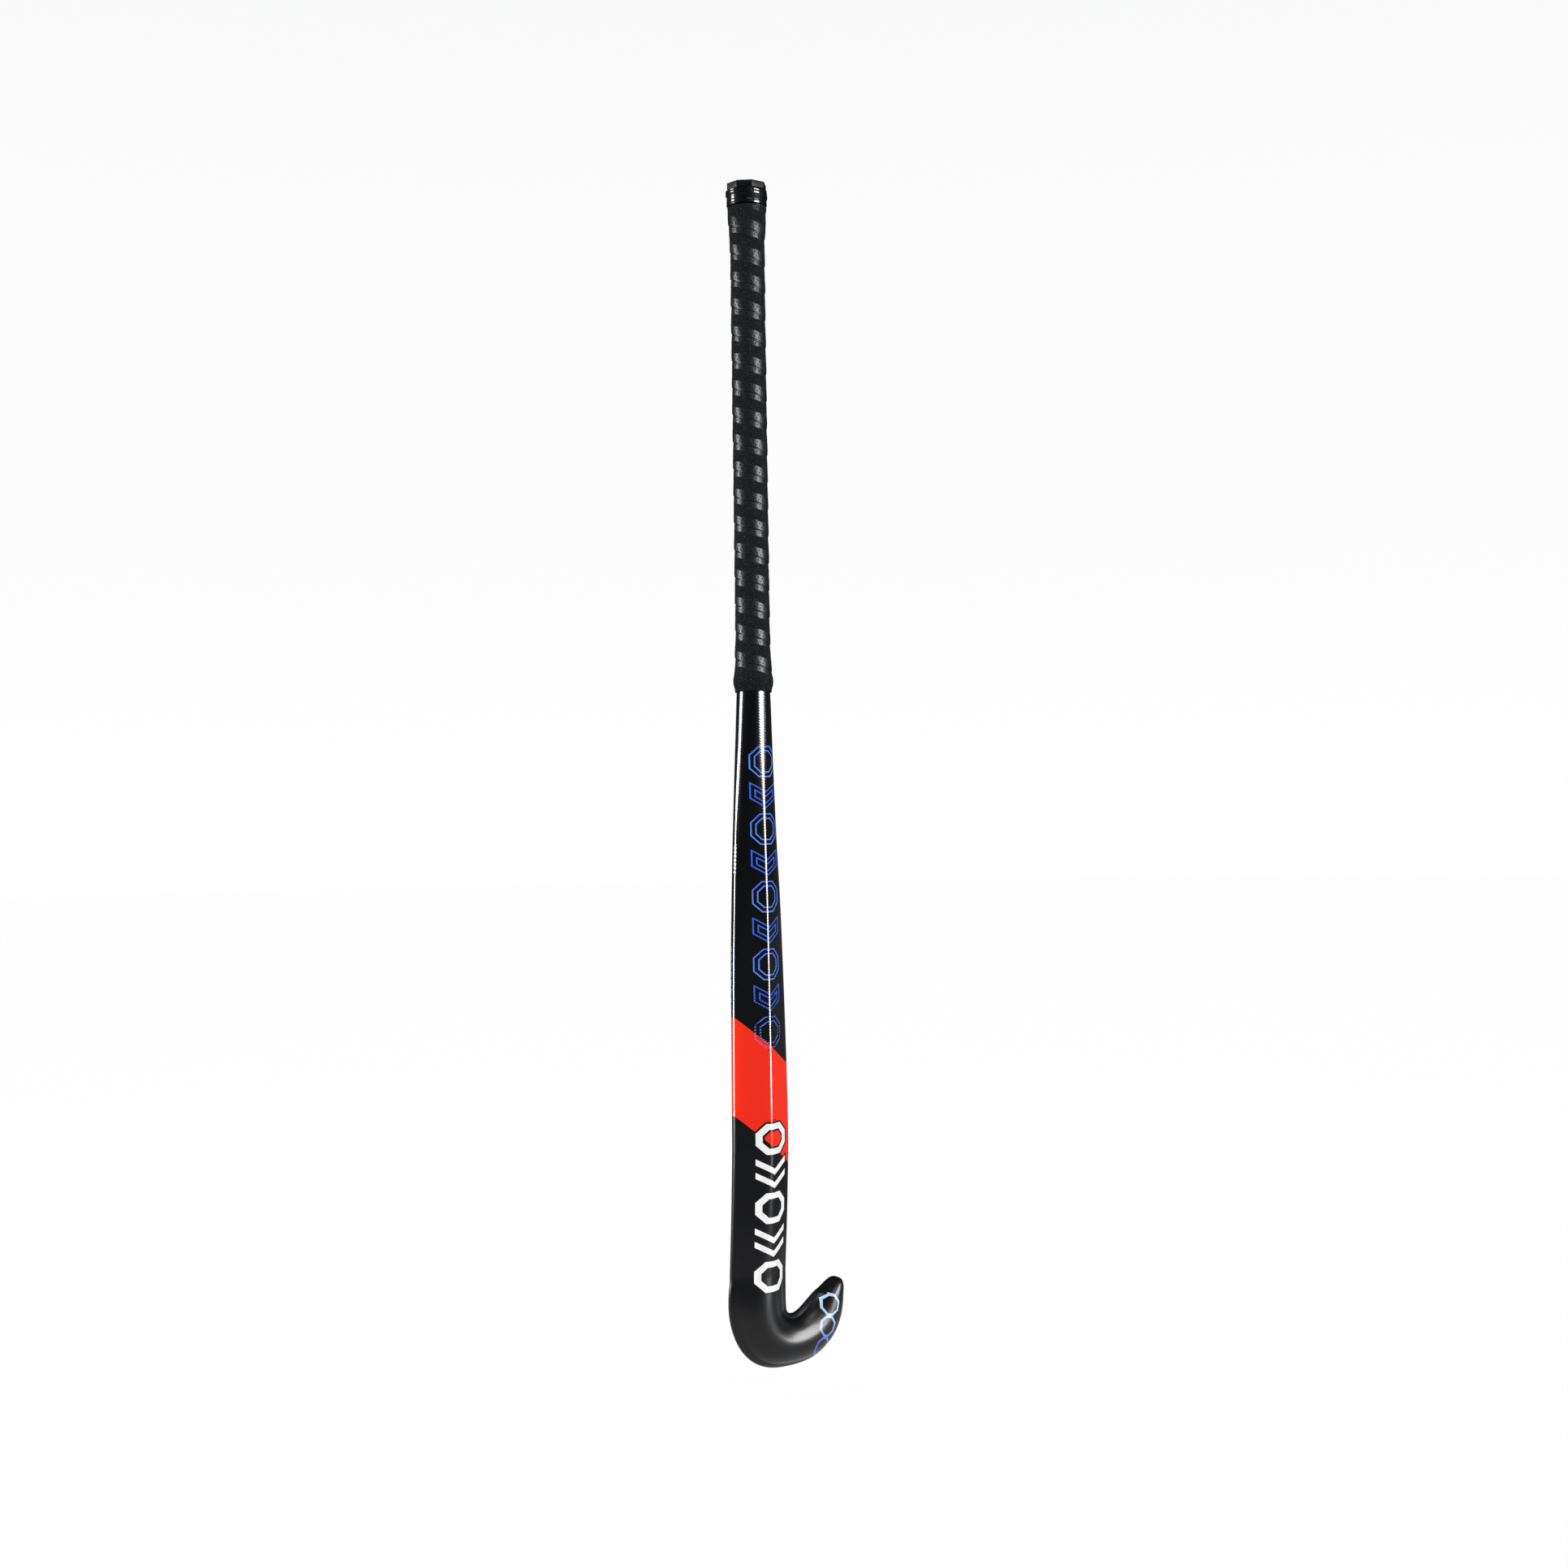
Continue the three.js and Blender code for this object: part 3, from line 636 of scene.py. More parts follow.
def shell():
    """Hollow laminate, open at the handle and closed at the toe's tip."""
    # angles start on the playing face, so that the seam of the unrolled surface is there
    angles = np.pi / 2 + 2 * np.pi * np.arange(SHELL_SIDES) / SHELL_SIDES
    outer_runs = runs_through(
        (SHELL_TOP, 340, 4), (340, 392, 8), (392, 700, 110), (700, STRAIGHT, 60),
        (STRAIGHT, TIP - 6, 84), (TIP - 6, TIP - 1, 12), (TIP - 1, TIP, 5))
    inner_runs = runs_through(
        (SHELL_TOP, 340, 2), (340, 400, 4), (400, 830, 14), (830, STRAIGHT, 1), (STRAIGHT, CAVITY_BOTTOM, 13))
    outer = [ring_at(run, 0.0, angles) for run in outer_runs]
    inner = [ring_at(run, WALL, angles) for run in inner_runs]
    points = [p for ring in outer + inner for p in ring]
    faces = []
    for i in range(len(outer) - 1):
        bridge(faces, i * SHELL_SIDES, (i + 1) * SHELL_SIDES, SHELL_SIDES)
    first_inner = len(outer) * SHELL_SIDES
    for i in range(len(inner) - 1):
        first = first_inner + i * SHELL_SIDES
        bridge(faces, first, first + SHELL_SIDES, SHELL_SIDES, flip=True)
    bridge(faces, 0, first_inner, SHELL_SIDES, flip=True)
    quads = len(faces)
    fan(faces, points, (len(outer) - 1) * SHELL_SIDES, SHELL_SIDES, flip=True)
    fan(faces, points, first_inner + (len(inner) - 1) * SHELL_SIDES, SHELL_SIDES)

    grid = np.array([np.concatenate([ring, ring[:1]]) for ring in outer])
    around = np.cumsum(np.linalg.norm(np.diff(grid, axis=1), axis=2), axis=1)
    around = np.concatenate([np.zeros((len(outer), 1)), around], axis=1)
    around -= around[:, SHELL_SIDES // 2][:, None]
    middle = grid[:, :-1].mean(axis=1)
    down = SHELL_TOP + np.concatenate([[0], np.cumsum(np.linalg.norm(np.diff(middle, axis=0), axis=1))])
    place = np.stack([around, np.repeat(down[:, None], SHELL_SIDES + 1, axis=1)], axis=2) * MM
    uv = corner_uv(place, SHELL_SIDES, len(outer) - 1, quads).reshape(-1, 2)
    uv = np.concatenate([uv, np.zeros((3 * (len(faces) - quads), 2))])
    return make_object("shell_skin", points, faces, uv)


# ------------------------------------------------------------------ grip

GRIP_SIDES = 192
WRAP_PITCH = 21.0
WRAP_START = 6.0             # run, on the stick's toe side, where an overlap edge would pass
WRAP_TURN = 77.0             # length of one turn of the wrap
WRAP_PER_RADIAN = 12.3
WRAP_END = GRIP_BOTTOM - 1.8
WRAP_LIFT = math.radians(-122)    # the side where the lower end's edge curves up most
LAP_HEIGHT = 0.42            # how far a turn's lower edge stands over the next turn
CROWN_HEIGHT = 0.30
GROOVE_DEPTH = 0.30
HOLE_DEPTH = 0.15
PORE_HEIGHT = 0.075
COLLAR_HEIGHT = 0.80         # bulge of the doubled lower end
ROWS = (-5.4, -2.6, 2.2)     # rows of holes, from the overlap edge
HOLE_STEP = 3.8
HOLE_SHIFT = 0.45            # steps by which a row is ahead of the row before it
HOLE_RADIUS = 0.56
SMOOTH_ABOVE, SMOOTH_BELOW = 7.0, 4.3    # widths of the smooth strips on both sides of an overlap edge
UNEVEN = [(1, 63.0, 0.4), (2, 41.0, 1.9), (3, -29.0, 4.0), (1, -17.0, 2.2)]
FINE_UNEVEN = [(5, 9.0, 0.3), (7, -6.3, 1.1), (4, 5.1, 3.0), (9, 7.7, 5.2)]


def smooth(value, start, end):
    t = np.clip((value - start) / (end - start), 0, 1)
    return t * t * (3 - 2 * t)


def ripple(run, angle, seeds):
    """Smooth unevenness that closes round the stick, from waves of (turns, length, phase)."""
    total = 0
    for turns, length, phase in seeds:
        total = total + np.sin(turns * angle + 2 * np.pi * run / length + phase)
    return total / len(seeds)


def wrap_place(run, angle):
    """Distance below the nearest overlap edge, and distance along the wrap."""
    phase = (run - WRAP_START) / WRAP_PITCH - angle / (2 * np.pi)
    below = (phase - np.floor(phase)) * WRAP_PITCH
    return below, np.floor(phase) * WRAP_TURN + angle * WRAP_PER_RADIAN


def grip():
    """Wound cushion grip, with its laps, holes and pores in relief on one closed layer."""
    angles = 2 * np.pi * np.arange(GRIP_SIDES) / GRIP_SIDES
    last_steps = WRAP_END - np.array((1.3, 0.8, 0.4, 0.0))
    runs = np.concatenate([np.linspace(GRIP_TOP, WRAP_END - 1.8, 740), last_steps])
    rng = np.random.default_rng(7)
    pores = rng.normal(0, 1, (len(runs), GRIP_SIDES))
    pores = (pores + np.roll(pores, 1, 0) + np.roll(pores, 1, 1) + np.roll(np.roll(pores, 1, 0), 1, 1)) / 4
    outer = []
    for k, run in enumerate(runs):
        base = ring_at(run, -GRIP_CLEARANCE, angles)
        middle = base.mean(axis=0)
        away = base - middle
        away /= np.linalg.norm(away, axis=1)[:, None]
        below, along = wrap_place(run, angles)
        above = WRAP_PITCH - below
        thick = value_at(GRIP_STATIONS, 1, run)
        # the upper turn ends in a soft edge that stands over the next turn
        lap = LAP_HEIGHT * smooth(above, 12.0, 2.2) * smooth(above, 0.0, 0.5)
        crown = CROWN_HEIGHT * np.sin(np.pi * np.clip(below / WRAP_PITCH, 0, 1)) - 0.16
        groove = -GROOVE_DEPTH * np.exp(-(np.minimum(below, above) / 0.45) ** 2)
        holes = np.zeros(GRIP_SIDES)
        signed = np.where(below > WRAP_PITCH / 2, below - WRAP_PITCH, below)
        for n, row in enumerate(ROWS):
            shift = (along + n * HOLE_STEP * HOLE_SHIFT) / HOLE_STEP
            off = (shift - np.round(shift)) * HOLE_STEP
            holes += smooth(np.hypot(off, signed - row), HOLE_RADIUS + 0.25, HOLE_RADIUS - 0.35)
        mottled = smooth(below, SMOOTH_BELOW - 0.6, SMOOTH_BELOW + 0.6) \
            * smooth(above, SMOOTH_ABOVE - 0.6, SMOOTH_ABOVE + 0.6)
        height = lap + crown + groove - HOLE_DEPTH * holes
        height = height + 0.12 * ripple(run, angles, UNEVEN) + 0.02 * ripple(run, angles, FINE_UNEVEN)
        height = height + mottled * PORE_HEIGHT * pores[k]
        # doubled collar at the lower end, drawn in towards the shaft, which hides the last turn's cut edge
        from_end = runs[-1] - run
        collar = COLLAR_HEIGHT * np.exp(-((from_end - 9.5) / 5.0) ** 2)
        fold = -0.9 * smooth(from_end, 6.5, 0.0) - 0.12 * np.exp(-((from_end - 13.5) / 0.5) ** 2)
        end = smooth(from_end, 0.0, 1.6) ** 0.5
        start = 0.75 + 0.25 * smooth(run - GRIP_TOP, -0.6, 1.2)
        height = height * (1 - 0.7 * smooth(from_end, 16.0, 12.0))
        rise = (thick - 0.1) * (0.25 + 0.75 * end * start) + (height + collar + fold) * end * start
        ring = base + away * np.maximum(rise, 0.25)[:, None]
        lifted = angles - WRAP_LIFT
        lift = 0.45 * (0.55 + np.cos(lifted) + 0.45 * np.cos(2 * lifted))
        ring[:, 2] += smooth(from_end, 9.0, 0.0) * lift
        outer.append(ring)
    inner = [ring_at(run, -GRIP_CLEARANCE, angles) for run in runs_through((GRIP_TOP, 340, 2), (340, 396, 8))]
    turned = np.linspace(0, 2 * np.pi, GRIP_SIDES + 1)
    place = np.stack(np.broadcast_arrays(turned[None, :], runs[:, None]), axis=2) * MM
    return tube("cushion_wrap", outer, inner, place)


def grip_finish():
    g = Graph("grip_cushion")
    angle, run = g.unrolled()
    phase = (run - WRAP_START) / WRAP_PITCH - angle / (2 * math.pi)
    below = g.math("FRACT", phase) * WRAP_PITCH
    along = g.math("FLOOR", phase) * WRAP_TURN + angle * WRAP_PER_RADIAN
    above = WRAP_PITCH - below
    signed = below - g.math("GREATER_THAN", below, WRAP_PITCH / 2) * WRAP_PITCH
    position = g.spot()
    drift = g.noise(position, 160.0, 2.0) - 0.5
    near_end = g.largest(g.step(run, 46.0, 28.0) * 0.7, g.step(run, 384.5, 388.0) * 1.2)
    mottled = g.step(below + drift * 2.4, SMOOTH_BELOW - 0.3, SMOOTH_BELOW + 0.5) \
        * g.step(above + drift * 2.4, SMOOTH_ABOVE - 0.3, SMOOTH_ABOVE + 0.5)
    mottled = g.smallest(g.largest(mottled, near_end), 1.0)
    holes = None
    for n, row in enumerate(ROWS):
        shift = (along + n * HOLE_STEP * HOLE_SHIFT) / HOLE_STEP
        off = (g.math("FRACT", shift + 0.5) - 0.5) * HOLE_STEP
        dy = signed - row
        dot = g.step(g.math("SQRT", off * off + dy * dy), HOLE_RADIUS + 0.12, HOLE_RADIUS - 0.18)
        holes = dot if holes is None else g.largest(holes, dot)
    seam = g.step(g.size(signed), 0.55, 0.15)
    coarse = g.noise(position, 900.0, 3.0, 0.62)
    grain = g.noise(position, 2300.0, 2.0, 0.6)
    pits = g.step(g.cells(position, 1000.0), 0.50, 0.22)
    flecks = g.step(g.cells(position, 620.0), 0.24, 0.11)
    colour = g.mix(coarse, srgb(8, 9, 12), srgb(27, 29, 32))
    # painted shade: the pits in the mottled strips are coloured darker where the relief dips
    colour = g.mix(mottled * pits * 0.8, colour, srgb(6, 7, 8))
    # painted glints: the raised flecks in the mottled strips are coloured light grey
    colour = g.mix(mottled * flecks * 0.75, colour, srgb(84, 85, 88))
    # painted shade: the holes and the groove at each overlap edge are coloured near black
    colour = g.mix(g.largest(holes, seam * 0.85), colour, srgb(7, 7, 8))
    rough = 0.50 + mottled * 0.32 + coarse * 0.10
    height = coarse * 0.5 * mottled + grain * 0.16 - pits * mottled * 0.55 + flecks * mottled * 0.4
    g.set(Base_Color=colour, Roughness=rough, IOR=1.5, Specular_IOR_Level=0.06)
    g.relief(height, 0.35, 0.8)
    facing = Value(g, g.node("ShaderNodeLayerWeight").outputs["Facing"])
    sheen = (1.0 - mottled) * (1.0 - holes) * (0.28 + coarse * 0.14)
    g.coat(sheen * g.step(facing, 0.66, 0.36), 0.29)
    return g.material


# ------------------------------------------------------------------ cap and band

CAP_TOP_RADIUS = 3.5
CAP_RIM_RADIUS = 15.8
CAP_FLATS = 8
CAP_CORNER = 0.993           # share of the radius that the rim's rounded corners reach
CAP_TURN = math.radians(6)
CAP_SIDES = 160


def cap():
    """Eight-sided rim with a low slope inside it, passing into a round skirt with an open bore."""
    angles = 2 * np.pi * np.arange(CAP_SIDES) / CAP_SIDES
    step = 2 * np.pi / CAP_FLATS
    off = (angles + step / 2) % step - step / 2
    flat = np.minimum(np.cos(step / 2) / np.cos(off), CAP_CORNER)
    turned = angles + CAP_TURN

    def ring(radius, run, share):
        reach = radius * (1 - share + share * flat)
        return np.stack([reach * np.cos(turned), reach * np.sin(turned), np.full(CAP_SIDES, -run)], 1)

    # radius, run, share of the eight flats
    profile = [
        (CAP_TOP_RADIUS - 0.8, 0.04, 0.4), (CAP_TOP_RADIUS + 0.4, 0.16, 0.5),
        (8.0, 1.25, 0.8), (12.0, 2.25, 0.95), (CAP_RIM_RADIUS - 0.8, 3.0, 1.0),
        (CAP_RIM_RADIUS - 0.3, 3.18, 1.0), (CAP_RIM_RADIUS - 0.06, 3.42, 1.0),
        (CAP_RIM_RADIUS, 3.8, 1.0), (CAP_RIM_RADIUS, 5.5, 0.95), (CAP_RIM_RADIUS - 0.05, 7.4, 0.85),
        (CAP_RIM_RADIUS - 0.12, 7.9, 0.84), (CAP_RIM_RADIUS - 0.3, 8.15, 0.84), (CAP_RADIUS, 8.3, 0.8),
        (CAP_RADIUS, 9.0, 0.7), (CAP_RADIUS, 14.0, 0.0), (CAP_RADIUS, CAP_DEPTH - 0.5, 0.0),
        (CAP_RADIUS - 0.2, CAP_DEPTH - 0.1, 0.0), (CAP_RADIUS - 0.5, CAP_DEPTH, 0.0),
    ]
    outer = [ring(*row) for row in profile]
    inner = [ring_at(run, -CAP_BORE_GAP, turned) for run in (CAP_ROOF, 10.0, CAP_DEPTH)]
    points = [p for r in outer + inner for p in r]
    faces = []
    for i in range(len(outer) - 1):
        bridge(faces, i * CAP_SIDES, (i + 1) * CAP_SIDES, CAP_SIDES)
    first_inner = len(outer) * CAP_SIDES
    for i in range(len(inner) - 1):
        bridge(faces, first_inner + i * CAP_SIDES, first_inner + (i + 1) * CAP_SIDES, CAP_SIDES, flip=True)
    bridge(faces, (len(outer) - 1) * CAP_SIDES, first_inner + (len(inner) - 1) * CAP_SIDES, CAP_SIDES)
    fan(faces, points, 0, CAP_SIDES)
    fan(faces, points, first_inner, CAP_SIDES, flip=True)
    return make_object("end_cap", points, faces)


def cap_finish():
    g = Graph("cap_rubber")
    position = g.spot()
    soft = g.noise(position, 210.0, 3.0)
    grain = g.noise(position, 1900.0, 2.0)
    wear = g.step(g.noise(position, 95.0, 4.0), 0.60, 0.74)
    colour = g.mix(soft, srgb(7, 9, 12), srgb(15, 17, 21))
    g.set(Base_Color=colour, Roughness=0.34 + wear * 0.2 + grain * 0.08, IOR=1.5, Specular_IOR_Level=0.12)
    g.relief(soft * 0.7 + grain * 0.12, 0.22, 0.6)
    return g.material


BAND_TOP, BAND_BOTTOM = top_of("finishing_band"), bottom_of("finishing_band")
BAND_BORE = 15.4
TAPE_SIDES = 224
TAPE_REACH = 15.62           # radius of the single layer
RIB_HEIGHT, RIB_GROOVE = 0.16, 0.12
TAPE_SLOPE = 5.0             # how far the tape comes down in one turn
TAPE_RIBS = (10.2, 12.2, 19.2)    # runs of the tape's turns where it faces the toe side
TAPE_FACING = math.radians(-80)  # the side the ribs stand out most
TAPE_SLACK = math.radians(148)   # the side where the doubled turns lie loosest
TAPE_TAIL = math.radians(-31)    # where the tape's cut end stands out
TAPE_WIDE = 14.7             # the tape is doubled above this run
TAPE_SHINE = ((9.7, 10.8), (11.6, 13.4), (18.0, 20.6))     # runs where a turn is stretched tight


def band():
    """Stretch tape wound round the cap and the grip's start: one ring with ribs and a standing cut end."""
    angles = 2 * np.pi * np.arange(TAPE_SIDES) / TAPE_SIDES
    runs = np.linspace(BAND_TOP, BAND_BOTTOM, 130)
    outer = []
    for run in runs:
        off = (angles - TAPE_FACING + np.pi) % (2 * np.pi) - np.pi
        at = run - TAPE_SLOPE * off / (2 * np.pi)
        reach = np.full(TAPE_SIDES, TAPE_REACH)
        reach += (0.42 + 0.34 * np.cos(angles - TAPE_SLACK)) * smooth(at, TAPE_WIDE + 0.1, TAPE_WIDE - 0.5)
        strained = 0.15 + 0.85 * np.exp(-(off / 0.55) ** 2)
        for rib in TAPE_RIBS:
            reach += strained * RIB_HEIGHT * np.exp(-((at - rib) / 0.55) ** 2)
            reach -= strained * RIB_GROOVE * np.exp(-((at - rib - 1.0) / 0.4) ** 2)
        reach -= strained * 0.30 * smooth(at, 13.0, 17.6) * smooth(at, 18.6, 17.6)
        reach += 0.05 * ripple(run, angles, [(2, 13.0, 0.5), (3, -9.0, 2.0), (4, 11.0, 4.4)])
        # the cut end stands slightly away from the turn below it
        from_tail = (angles - TAPE_TAIL + np.pi) % (2 * np.pi) - np.pi
        reach += 0.45 * np.exp(-(from_tail / 0.16) ** 2) * smooth(run, 7.0, 14.6) * smooth(run, 15.7, 15.0)
        reach = np.clip(reach, BAND_BORE + 0.14, 17.1)
        lip = smooth(run, BAND_TOP, BAND_TOP + 0.6) * smooth(run, BAND_BOTTOM, BAND_BOTTOM - 0.4)
        reach = BAND_BORE + 0.08 + (reach - BAND_BORE - 0.08) * lip
        outer.append(np.stack([reach * np.cos(angles), reach * np.sin(angles), np.full(TAPE_SIDES, -run)], 1))
    inner = [np.stack([BAND_BORE * np.cos(angles), BAND_BORE * np.sin(angles), np.full(TAPE_SIDES, -run)], 1)
             for run in (BAND_TOP, BAND_BOTTOM)]
    return tube("closing_tape", outer, inner)


def tape_finish():
    g = Graph("band_vinyl")
    position = g.spot()
    x, y, z = g.place()
    soft = g.noise(position, 330.0, 2.0)
    grain = g.noise(position, 2600.0, 2.0)
    dust = g.step(g.noise(position, 1500.0, 1.0), 0.70, 0.78)
    # stretched turns shine, the slack between them is dull
    off = g.math("ARCTAN2", y, x) - TAPE_FACING
    at = z * -1.0 - off * (TAPE_SLOPE / (2 * math.pi))
    ribbed = g.step(off, -0.75, -0.4)
    tight = None
    for first, last in TAPE_SHINE:
        turn = g.step(at, first - 0.35, first + 0.15) * g.step(at, last + 0.35, last - 0.15)
        tight = turn if tight is None else g.largest(tight, turn)
    waves = g.step(g.noise(g.combine(off * 0.6, at * 0.55, 4.0), 1.0, 1.0), 0.36, 0.56)
    shine = tight * ribbed + waves * (1.0 - ribbed) * 0.75
    colour = g.mix(soft, srgb(4, 5, 7), srgb(9, 10, 14))
    g.set(Base_Color=colour, Roughness=0.42 + dust * 0.2, IOR=1.5, Specular_IOR_Level=0.06)
    wrinkles = soft * 0.55 + grain * 0.05
    g.relief(wrinkles, 0.07, 0.5)
    g.coat(shine, 0.085, g.bump(wrinkles, 0.07, 0.5))
    return g.material


# ------------------------------------------------------------------ finishes of the sealed pieces

def foam_finish(name, light, dark, scale):
    g = Graph(name)
    position = g.spot()
    bubbles = g.cells(position, scale)
    shade = g.noise(position, scale / 6, 3.0)
    colour = g.mix(bubbles * 0.7 + shade * 0.3, dark, light)
    g.set(Base_Color=colour, Roughness=0.82 + shade * 0.12, IOR=1.45)
    g.relief(bubbles, 0.4, 0.7)
    return g.material


def woven_finish(name, first, second, tow, rough):
    g = Graph(name)
    x, y, z = g.place()
    a, b = (x + y * 0.5 + z) * 0.7071 / tow, (x + y * 0.5 - z) * 0.7071 / tow
    square = g.math("FLOORED_MODULO", g.math("FLOOR", a) - g.math("FLOOR", b), 2.0)
    over = g.math("LESS_THAN", square, 0.5)
    fa, fb = g.math("FRACT", a) - 0.5, g.math("FRACT", b) - 0.5
    height = over * (1.0 - fa * fa * 3.2) + (1.0 - over) * (1.0 - fb * fb * 3.2)
    fibre = g.noise(g.spot(), 1400.0, 2.0)
    colour = g.mix(height * 0.6 + fibre * 0.4, first, second)
    g.set(Base_Color=colour, Roughness=rough + fibre * 0.1, IOR=1.5)
    g.relief(height, 0.15, 0.6)
    return g.material


def moulded_finish(name, first, second, rough):
    g = Graph(name)
    position = g.spot()
    shade = g.noise(position, 120.0, 3.0)
    grain = g.noise(position, 2400.0, 2.0)
    g.set(Base_Color=g.mix(shade, first, second), Roughness=rough + grain * 0.12, IOR=1.5)
    g.relief(grain * 0.5 + shade * 0.5, 0.1, 0.5)
    return g.material


def finish_piece(obj, node, material):
    """Gives a mesh its material and puts it in the place of a CAD node."""
    obj.data.materials.append(material)
    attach(obj, "root")
    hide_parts(node)


finish_piece(shell(), "outer_shell", shell_finish())
finish_piece(grip(), "cushion_grip", grip_finish())
finish_piece(cap(), "butt_cap", cap_finish())
finish_piece(band(), "finishing_band", tape_finish())

core_foam = foam_finish("shaft_foam", srgb(226, 217, 178), srgb(178, 166, 124), 1100.0)
sealed = {
    "core_web": woven_finish("inner_laminate", srgb(20, 20, 23), srgb(46, 46, 50), 1.6, 0.42),
    "core_heel_side": core_foam,
    "core_toe_side": core_foam,
    "head_core": foam_finish("head_foam", srgb(196, 170, 118), srgb(142, 116, 74), 1500.0),
    "face_ply": woven_finish("aramid_ply", srgb(150, 118, 36), srgb(222, 186, 84), 1.2, 0.5),
    "handle_plug": moulded_finish("plug_plastic", srgb(56, 56, 60), srgb(86, 86, 90), 0.6),
    "damping_sleeve": moulded_finish("damping_rubber", srgb(40, 78, 122), srgb(66, 108, 152), 0.62),
    "grip_underlay": moulded_finish("underlay_tape", srgb(212, 206, 190), srgb(236, 232, 220), 0.8),
}
for node, material in sealed.items():
    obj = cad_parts[node]
    if not obj.material_slots:
        obj.data.materials.append(material)
    for slot in obj.material_slots:
        slot.material = material


# ------------------------------------------------------------------ camera, floor and light, in metres

VIEW_AZIMUTH = math.radians(-32)    # from the front, negative towards the heel side
VIEW_DISTANCE = 1.694
VIEW_PAN = math.radians(0.769)
VIEW_ROLL = math.radians(0.8)
VIEW_HEIGHT = -0.4697
FLOOR_DROP = 0.019           # gap between the hook and the floor
FLOOR_REACH, FLOOR_RIM = 9.0, 48
FLOOR_SEEN = 0.955           # the floor's glow as the camera sees it
FLOOR_MIRRORED = 0.62        # in mirror-like reflections, near the stick
FLOOR_MIRRORED_FAR = 0.04
FLOOR_BOUNCE = 0.5           # what it sends to matt surfaces
MIRRORED_NEAR, MIRRORED_FAR = 0.10, 0.55    # the mirrored floor darkens between these distances
WALL_LIGHT = 1.0             # the backdrop as the camera sees it
WALL_HIGH, WALL_SHADE = 0.34, 0.955    # at this height of view its light has fallen to this share
FILL_LIGHT = 1.2             # what it adds to matt surfaces
ROOM_LIGHT = 0.035           # what glossy surfaces mirror away from the softboxes


def aim_camera():
    toward = Vector((math.sin(VIEW_AZIMUTH), -math.cos(VIEW_AZIMUTH), 0))
    camera = bpy.data.objects.new("camera", bpy.data.cameras.new("camera"))
    camera.data.lens = 50
    camera.data.sensor_width = 36
    camera.data.clip_end = 100
    bpy.context.scene.collection.objects.link(camera)
    forward = Matrix.Rotation(-VIEW_PAN, 3, "Z") @ -toward
    up = Vector((0, 0, 1))
    right = forward.cross(up)
    turned_right = right * math.cos(VIEW_ROLL) - up * math.sin(VIEW_ROLL)
    turned_up = up * math.cos(VIEW_ROLL) + right * math.sin(VIEW_ROLL)
    axes = Matrix((turned_right, turned_up, -forward)).transposed().to_4x4()
    place = toward * VIEW_DISTANCE + Vector((0, 0, VIEW_HEIGHT))
    camera.matrix_world = Matrix.Translation(place) @ axes
    bpy.context.scene.camera = camera


def paper_finish():
    """White paper that glows by itself, and differently for each kind of ray."""
    g = Graph("paper_floor")
    g.tree.nodes.remove(g.bsdf)
    glow = g.node("ShaderNodeEmission")
    glow.inputs["Color"].default_value = (0.985, 0.985, 0.99, 1)
    level = g.node("ShaderNodeVectorMath", operation="MULTIPLY")
    level.inputs[1].default_value = (1, 1, 0)
    g.link(g.spot(), level.inputs[0])
    from_middle = g.node("ShaderNodeVectorMath", operation="LENGTH")
    g.link(level.outputs[0], from_middle.inputs[0])
    near = g.step(Value(g, from_middle.outputs["Value"]), MIRRORED_FAR, MIRRORED_NEAR)
    ray = g.node("ShaderNodeLightPath")
    is_camera = Value(g, ray.outputs["Is Camera Ray"])
    is_glossy = Value(g, ray.outputs["Is Glossy Ray"])
    strength = is_camera * (FLOOR_SEEN - FLOOR_BOUNCE) + FLOOR_BOUNCE \
        + is_glossy * (near * FLOOR_MIRRORED - FLOOR_BOUNCE + FLOOR_MIRRORED_FAR)
    g.put(glow.inputs["Strength"], strength)
    matt = g.node("ShaderNodeBsdfDiffuse")
    fleck = g.noise(g.spot(), 3.0, 2.0)
    g.put(matt.inputs["Color"], g.mix(fleck * 0.3, (0.04, 0.04, 0.041), (0.036, 0.036, 0.037)))
    both = g.node("ShaderNodeAddShader")
    g.link(glow.outputs[0], both.inputs[0])
    g.link(matt.outputs[0], both.inputs[1])
    g.link(both.outputs[0], g.output.inputs[0])
    return g.material


def lay_floor():
    level = CAD_LOW[2] - FLOOR_DROP
    turns = [2 * math.pi * i / FLOOR_RIM for i in range(FLOOR_RIM)]
    rim = [(FLOOR_REACH * math.cos(turn), FLOOR_REACH * math.sin(turn), level) for turn in turns]
    mesh = bpy.data.meshes.new("floor")
    faces = [(0, 1 + i, 1 + (i + 1) % FLOOR_RIM) for i in range(FLOOR_RIM)]
    mesh.from_pydata([(0, 0, level)] + rim, [], faces)
    floor = bpy.data.objects.new("floor", mesh)
    bpy.context.scene.collection.objects.link(floor)
    mesh.materials.append(paper_finish())


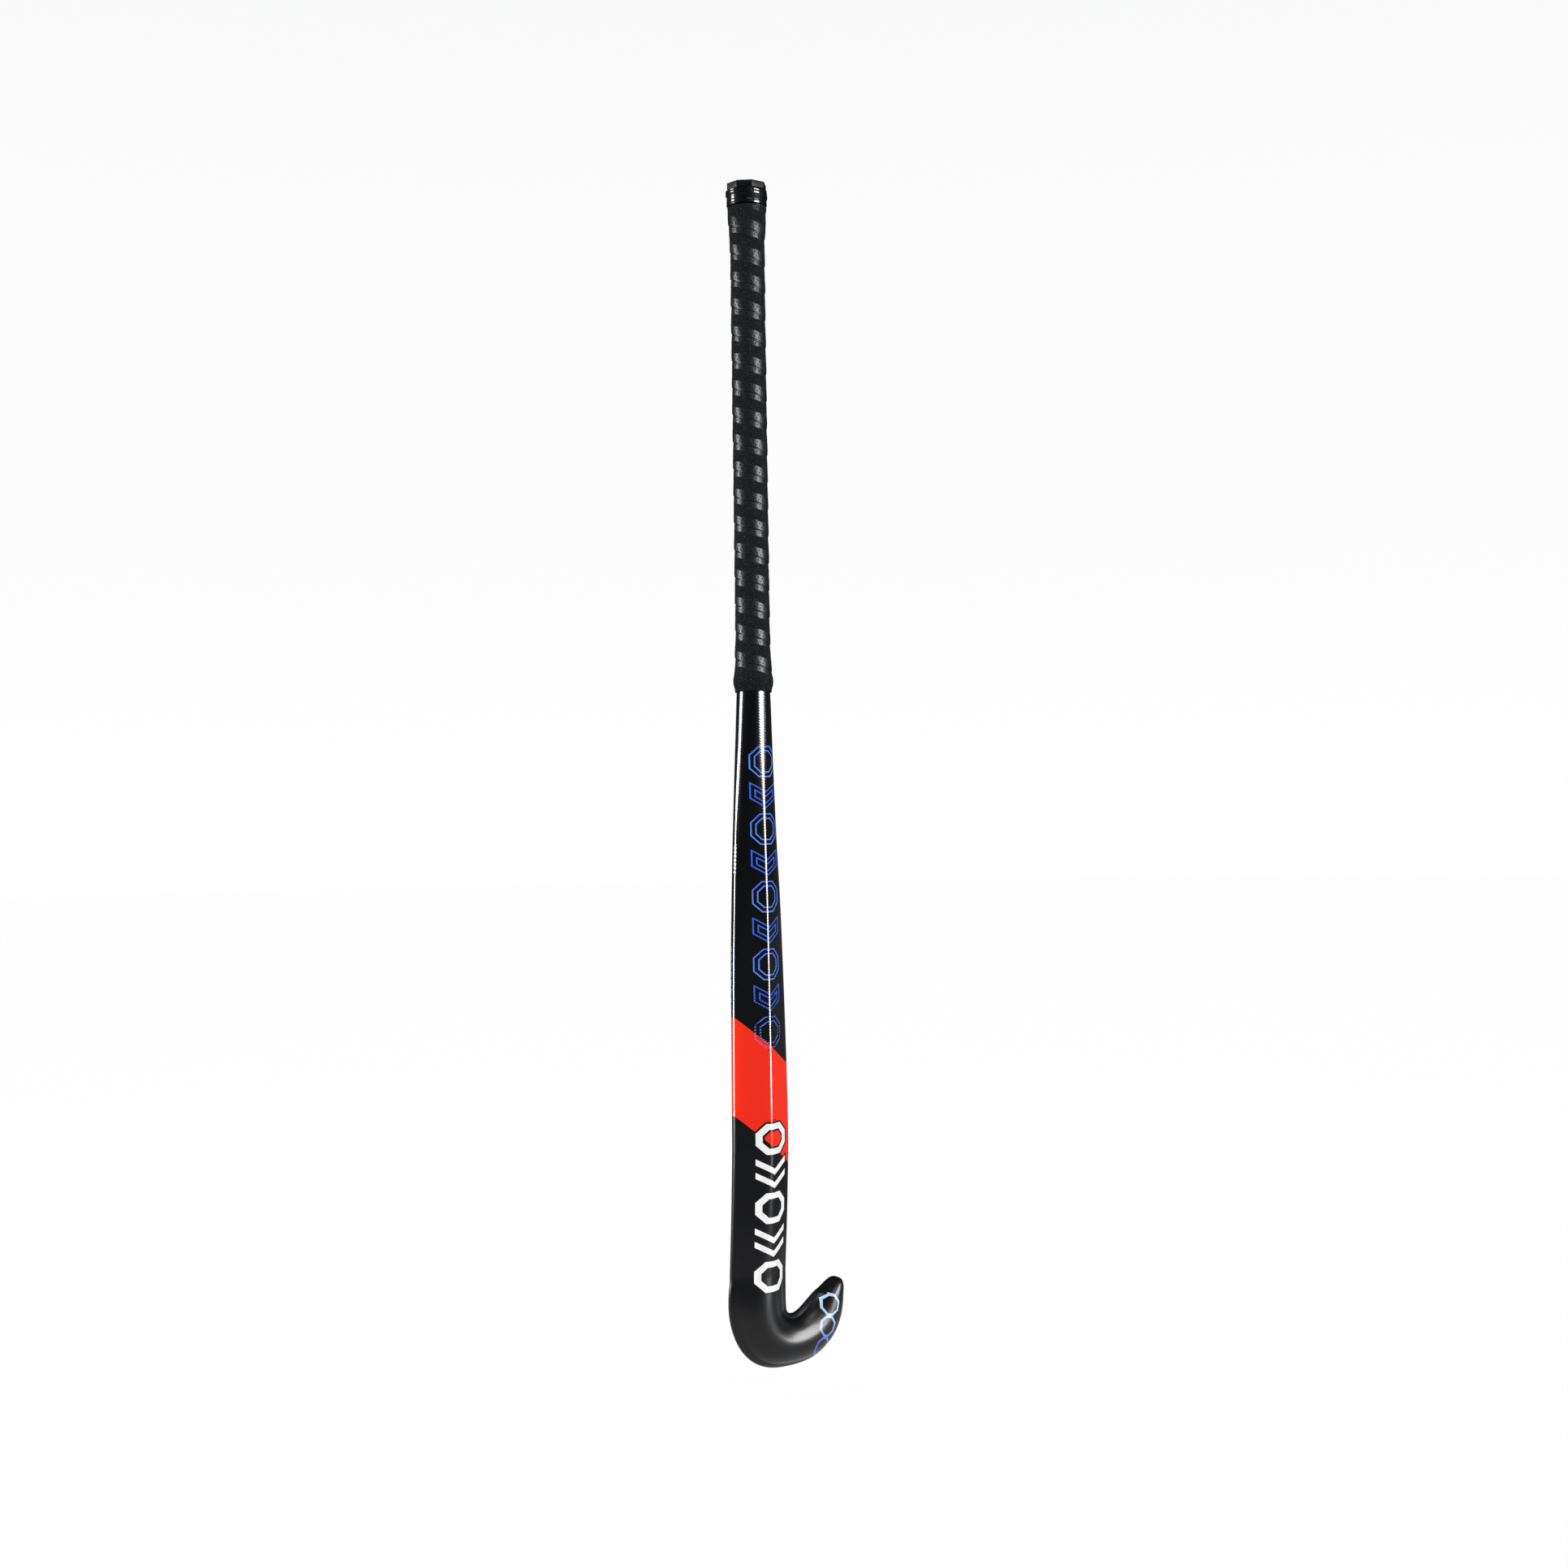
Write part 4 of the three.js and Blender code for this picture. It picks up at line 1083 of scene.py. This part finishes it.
def hang_backdrop():
    """Even backdrop all round, which darkens a little upwards and differs for each kind of ray."""
    world = bpy.data.worlds.new("studio")
    bpy.context.scene.world = world
    world.use_nodes = True
    tree = world.node_tree
    tree.nodes.clear()
    out = tree.nodes.new("ShaderNodeOutputWorld")
    path = tree.nodes.new("ShaderNodeLightPath")
    wall = tree.nodes.new("ShaderNodeBackground")
    wall.inputs["Color"].default_value = (0.991, 0.991, 0.998, 1)

    def add_for(ray, amount, base):
        made = tree.nodes.new("ShaderNodeMath")
        made.operation = "MULTIPLY_ADD"
        tree.links.new(path.outputs[ray], made.inputs[0])
        made.inputs[1].default_value = amount
        if isinstance(base, float):
            made.inputs[2].default_value = base
        else:
            tree.links.new(base, made.inputs[2])
        return made.outputs[0]

    seen = add_for("Is Camera Ray", WALL_LIGHT - ROOM_LIGHT, ROOM_LIGHT)
    fill = add_for("Is Diffuse Ray", FILL_LIGHT - ROOM_LIGHT, seen)
    way = tree.nodes.new("ShaderNodeTexCoord")
    parts = tree.nodes.new("ShaderNodeSeparateXYZ")
    tree.links.new(way.outputs["Generated"], parts.inputs[0])
    shade = tree.nodes.new("ShaderNodeMapRange")
    shade.inputs["From Max"].default_value = WALL_HIGH
    shade.inputs["To Min"].default_value = 1.0
    shade.inputs["To Max"].default_value = WALL_SHADE
    tree.links.new(parts.outputs["Z"], shade.inputs["Value"])
    shaded = tree.nodes.new("ShaderNodeMath")
    shaded.operation = "MULTIPLY"
    tree.links.new(fill, shaded.inputs[0])
    tree.links.new(shade.outputs["Result"], shaded.inputs[1])
    tree.links.new(shaded.outputs[0], wall.inputs["Strength"])
    tree.links.new(wall.outputs[0], out.inputs[0])


def softbox(name, from_view, distance, height, width, tall, gloss, matt):
    """Rectangular light facing the stick, from_view degrees to the right of the camera.

    It is one light for mirror-like reflections and a weaker one in the same place for matt surfaces.
    """
    azimuth = VIEW_AZIMUTH + math.radians(from_view)
    place = Vector((math.sin(azimuth), -math.cos(azimuth), 0)) * distance + Vector((0, 0, height))
    target = Vector((0, 0, height * 0.4 - 0.28))
    for part, radiance in (("gloss", gloss), ("matt", matt)):
        light = bpy.data.lights.new(name + "_" + part, "AREA")
        light.shape = "RECTANGLE"
        light.size, light.size_y = width, tall
        light.energy = radiance * math.pi * width * tall
        obj = bpy.data.objects.new(name + "_" + part, light)
        obj.location = place
        obj.rotation_mode = "QUATERNION"
        obj.rotation_quaternion = (target - place).to_track_quat("-Z", "Y")
        obj.visible_camera = False
        obj.visible_glossy = part == "gloss"
        obj.visible_diffuse = part == "matt"
        bpy.context.scene.collection.objects.link(obj)


aim_camera()
bpy.context.scene.view_settings.view_transform = "Standard"
lay_floor()
hang_backdrop()
# name, degrees from view, distance, height, width, height of the panel, gloss and matt strength
softbox("softbox_left", -86, 1.5, -0.28, 0.50, 1.36, 26, 7.9)
softbox("softbox_right", 59, 1.5, -0.28, 0.80, 1.36, 24, 5.1)
softbox("top_light", 20, 1.3, 1.5, 1.1, 1.1, 3, 1.0)
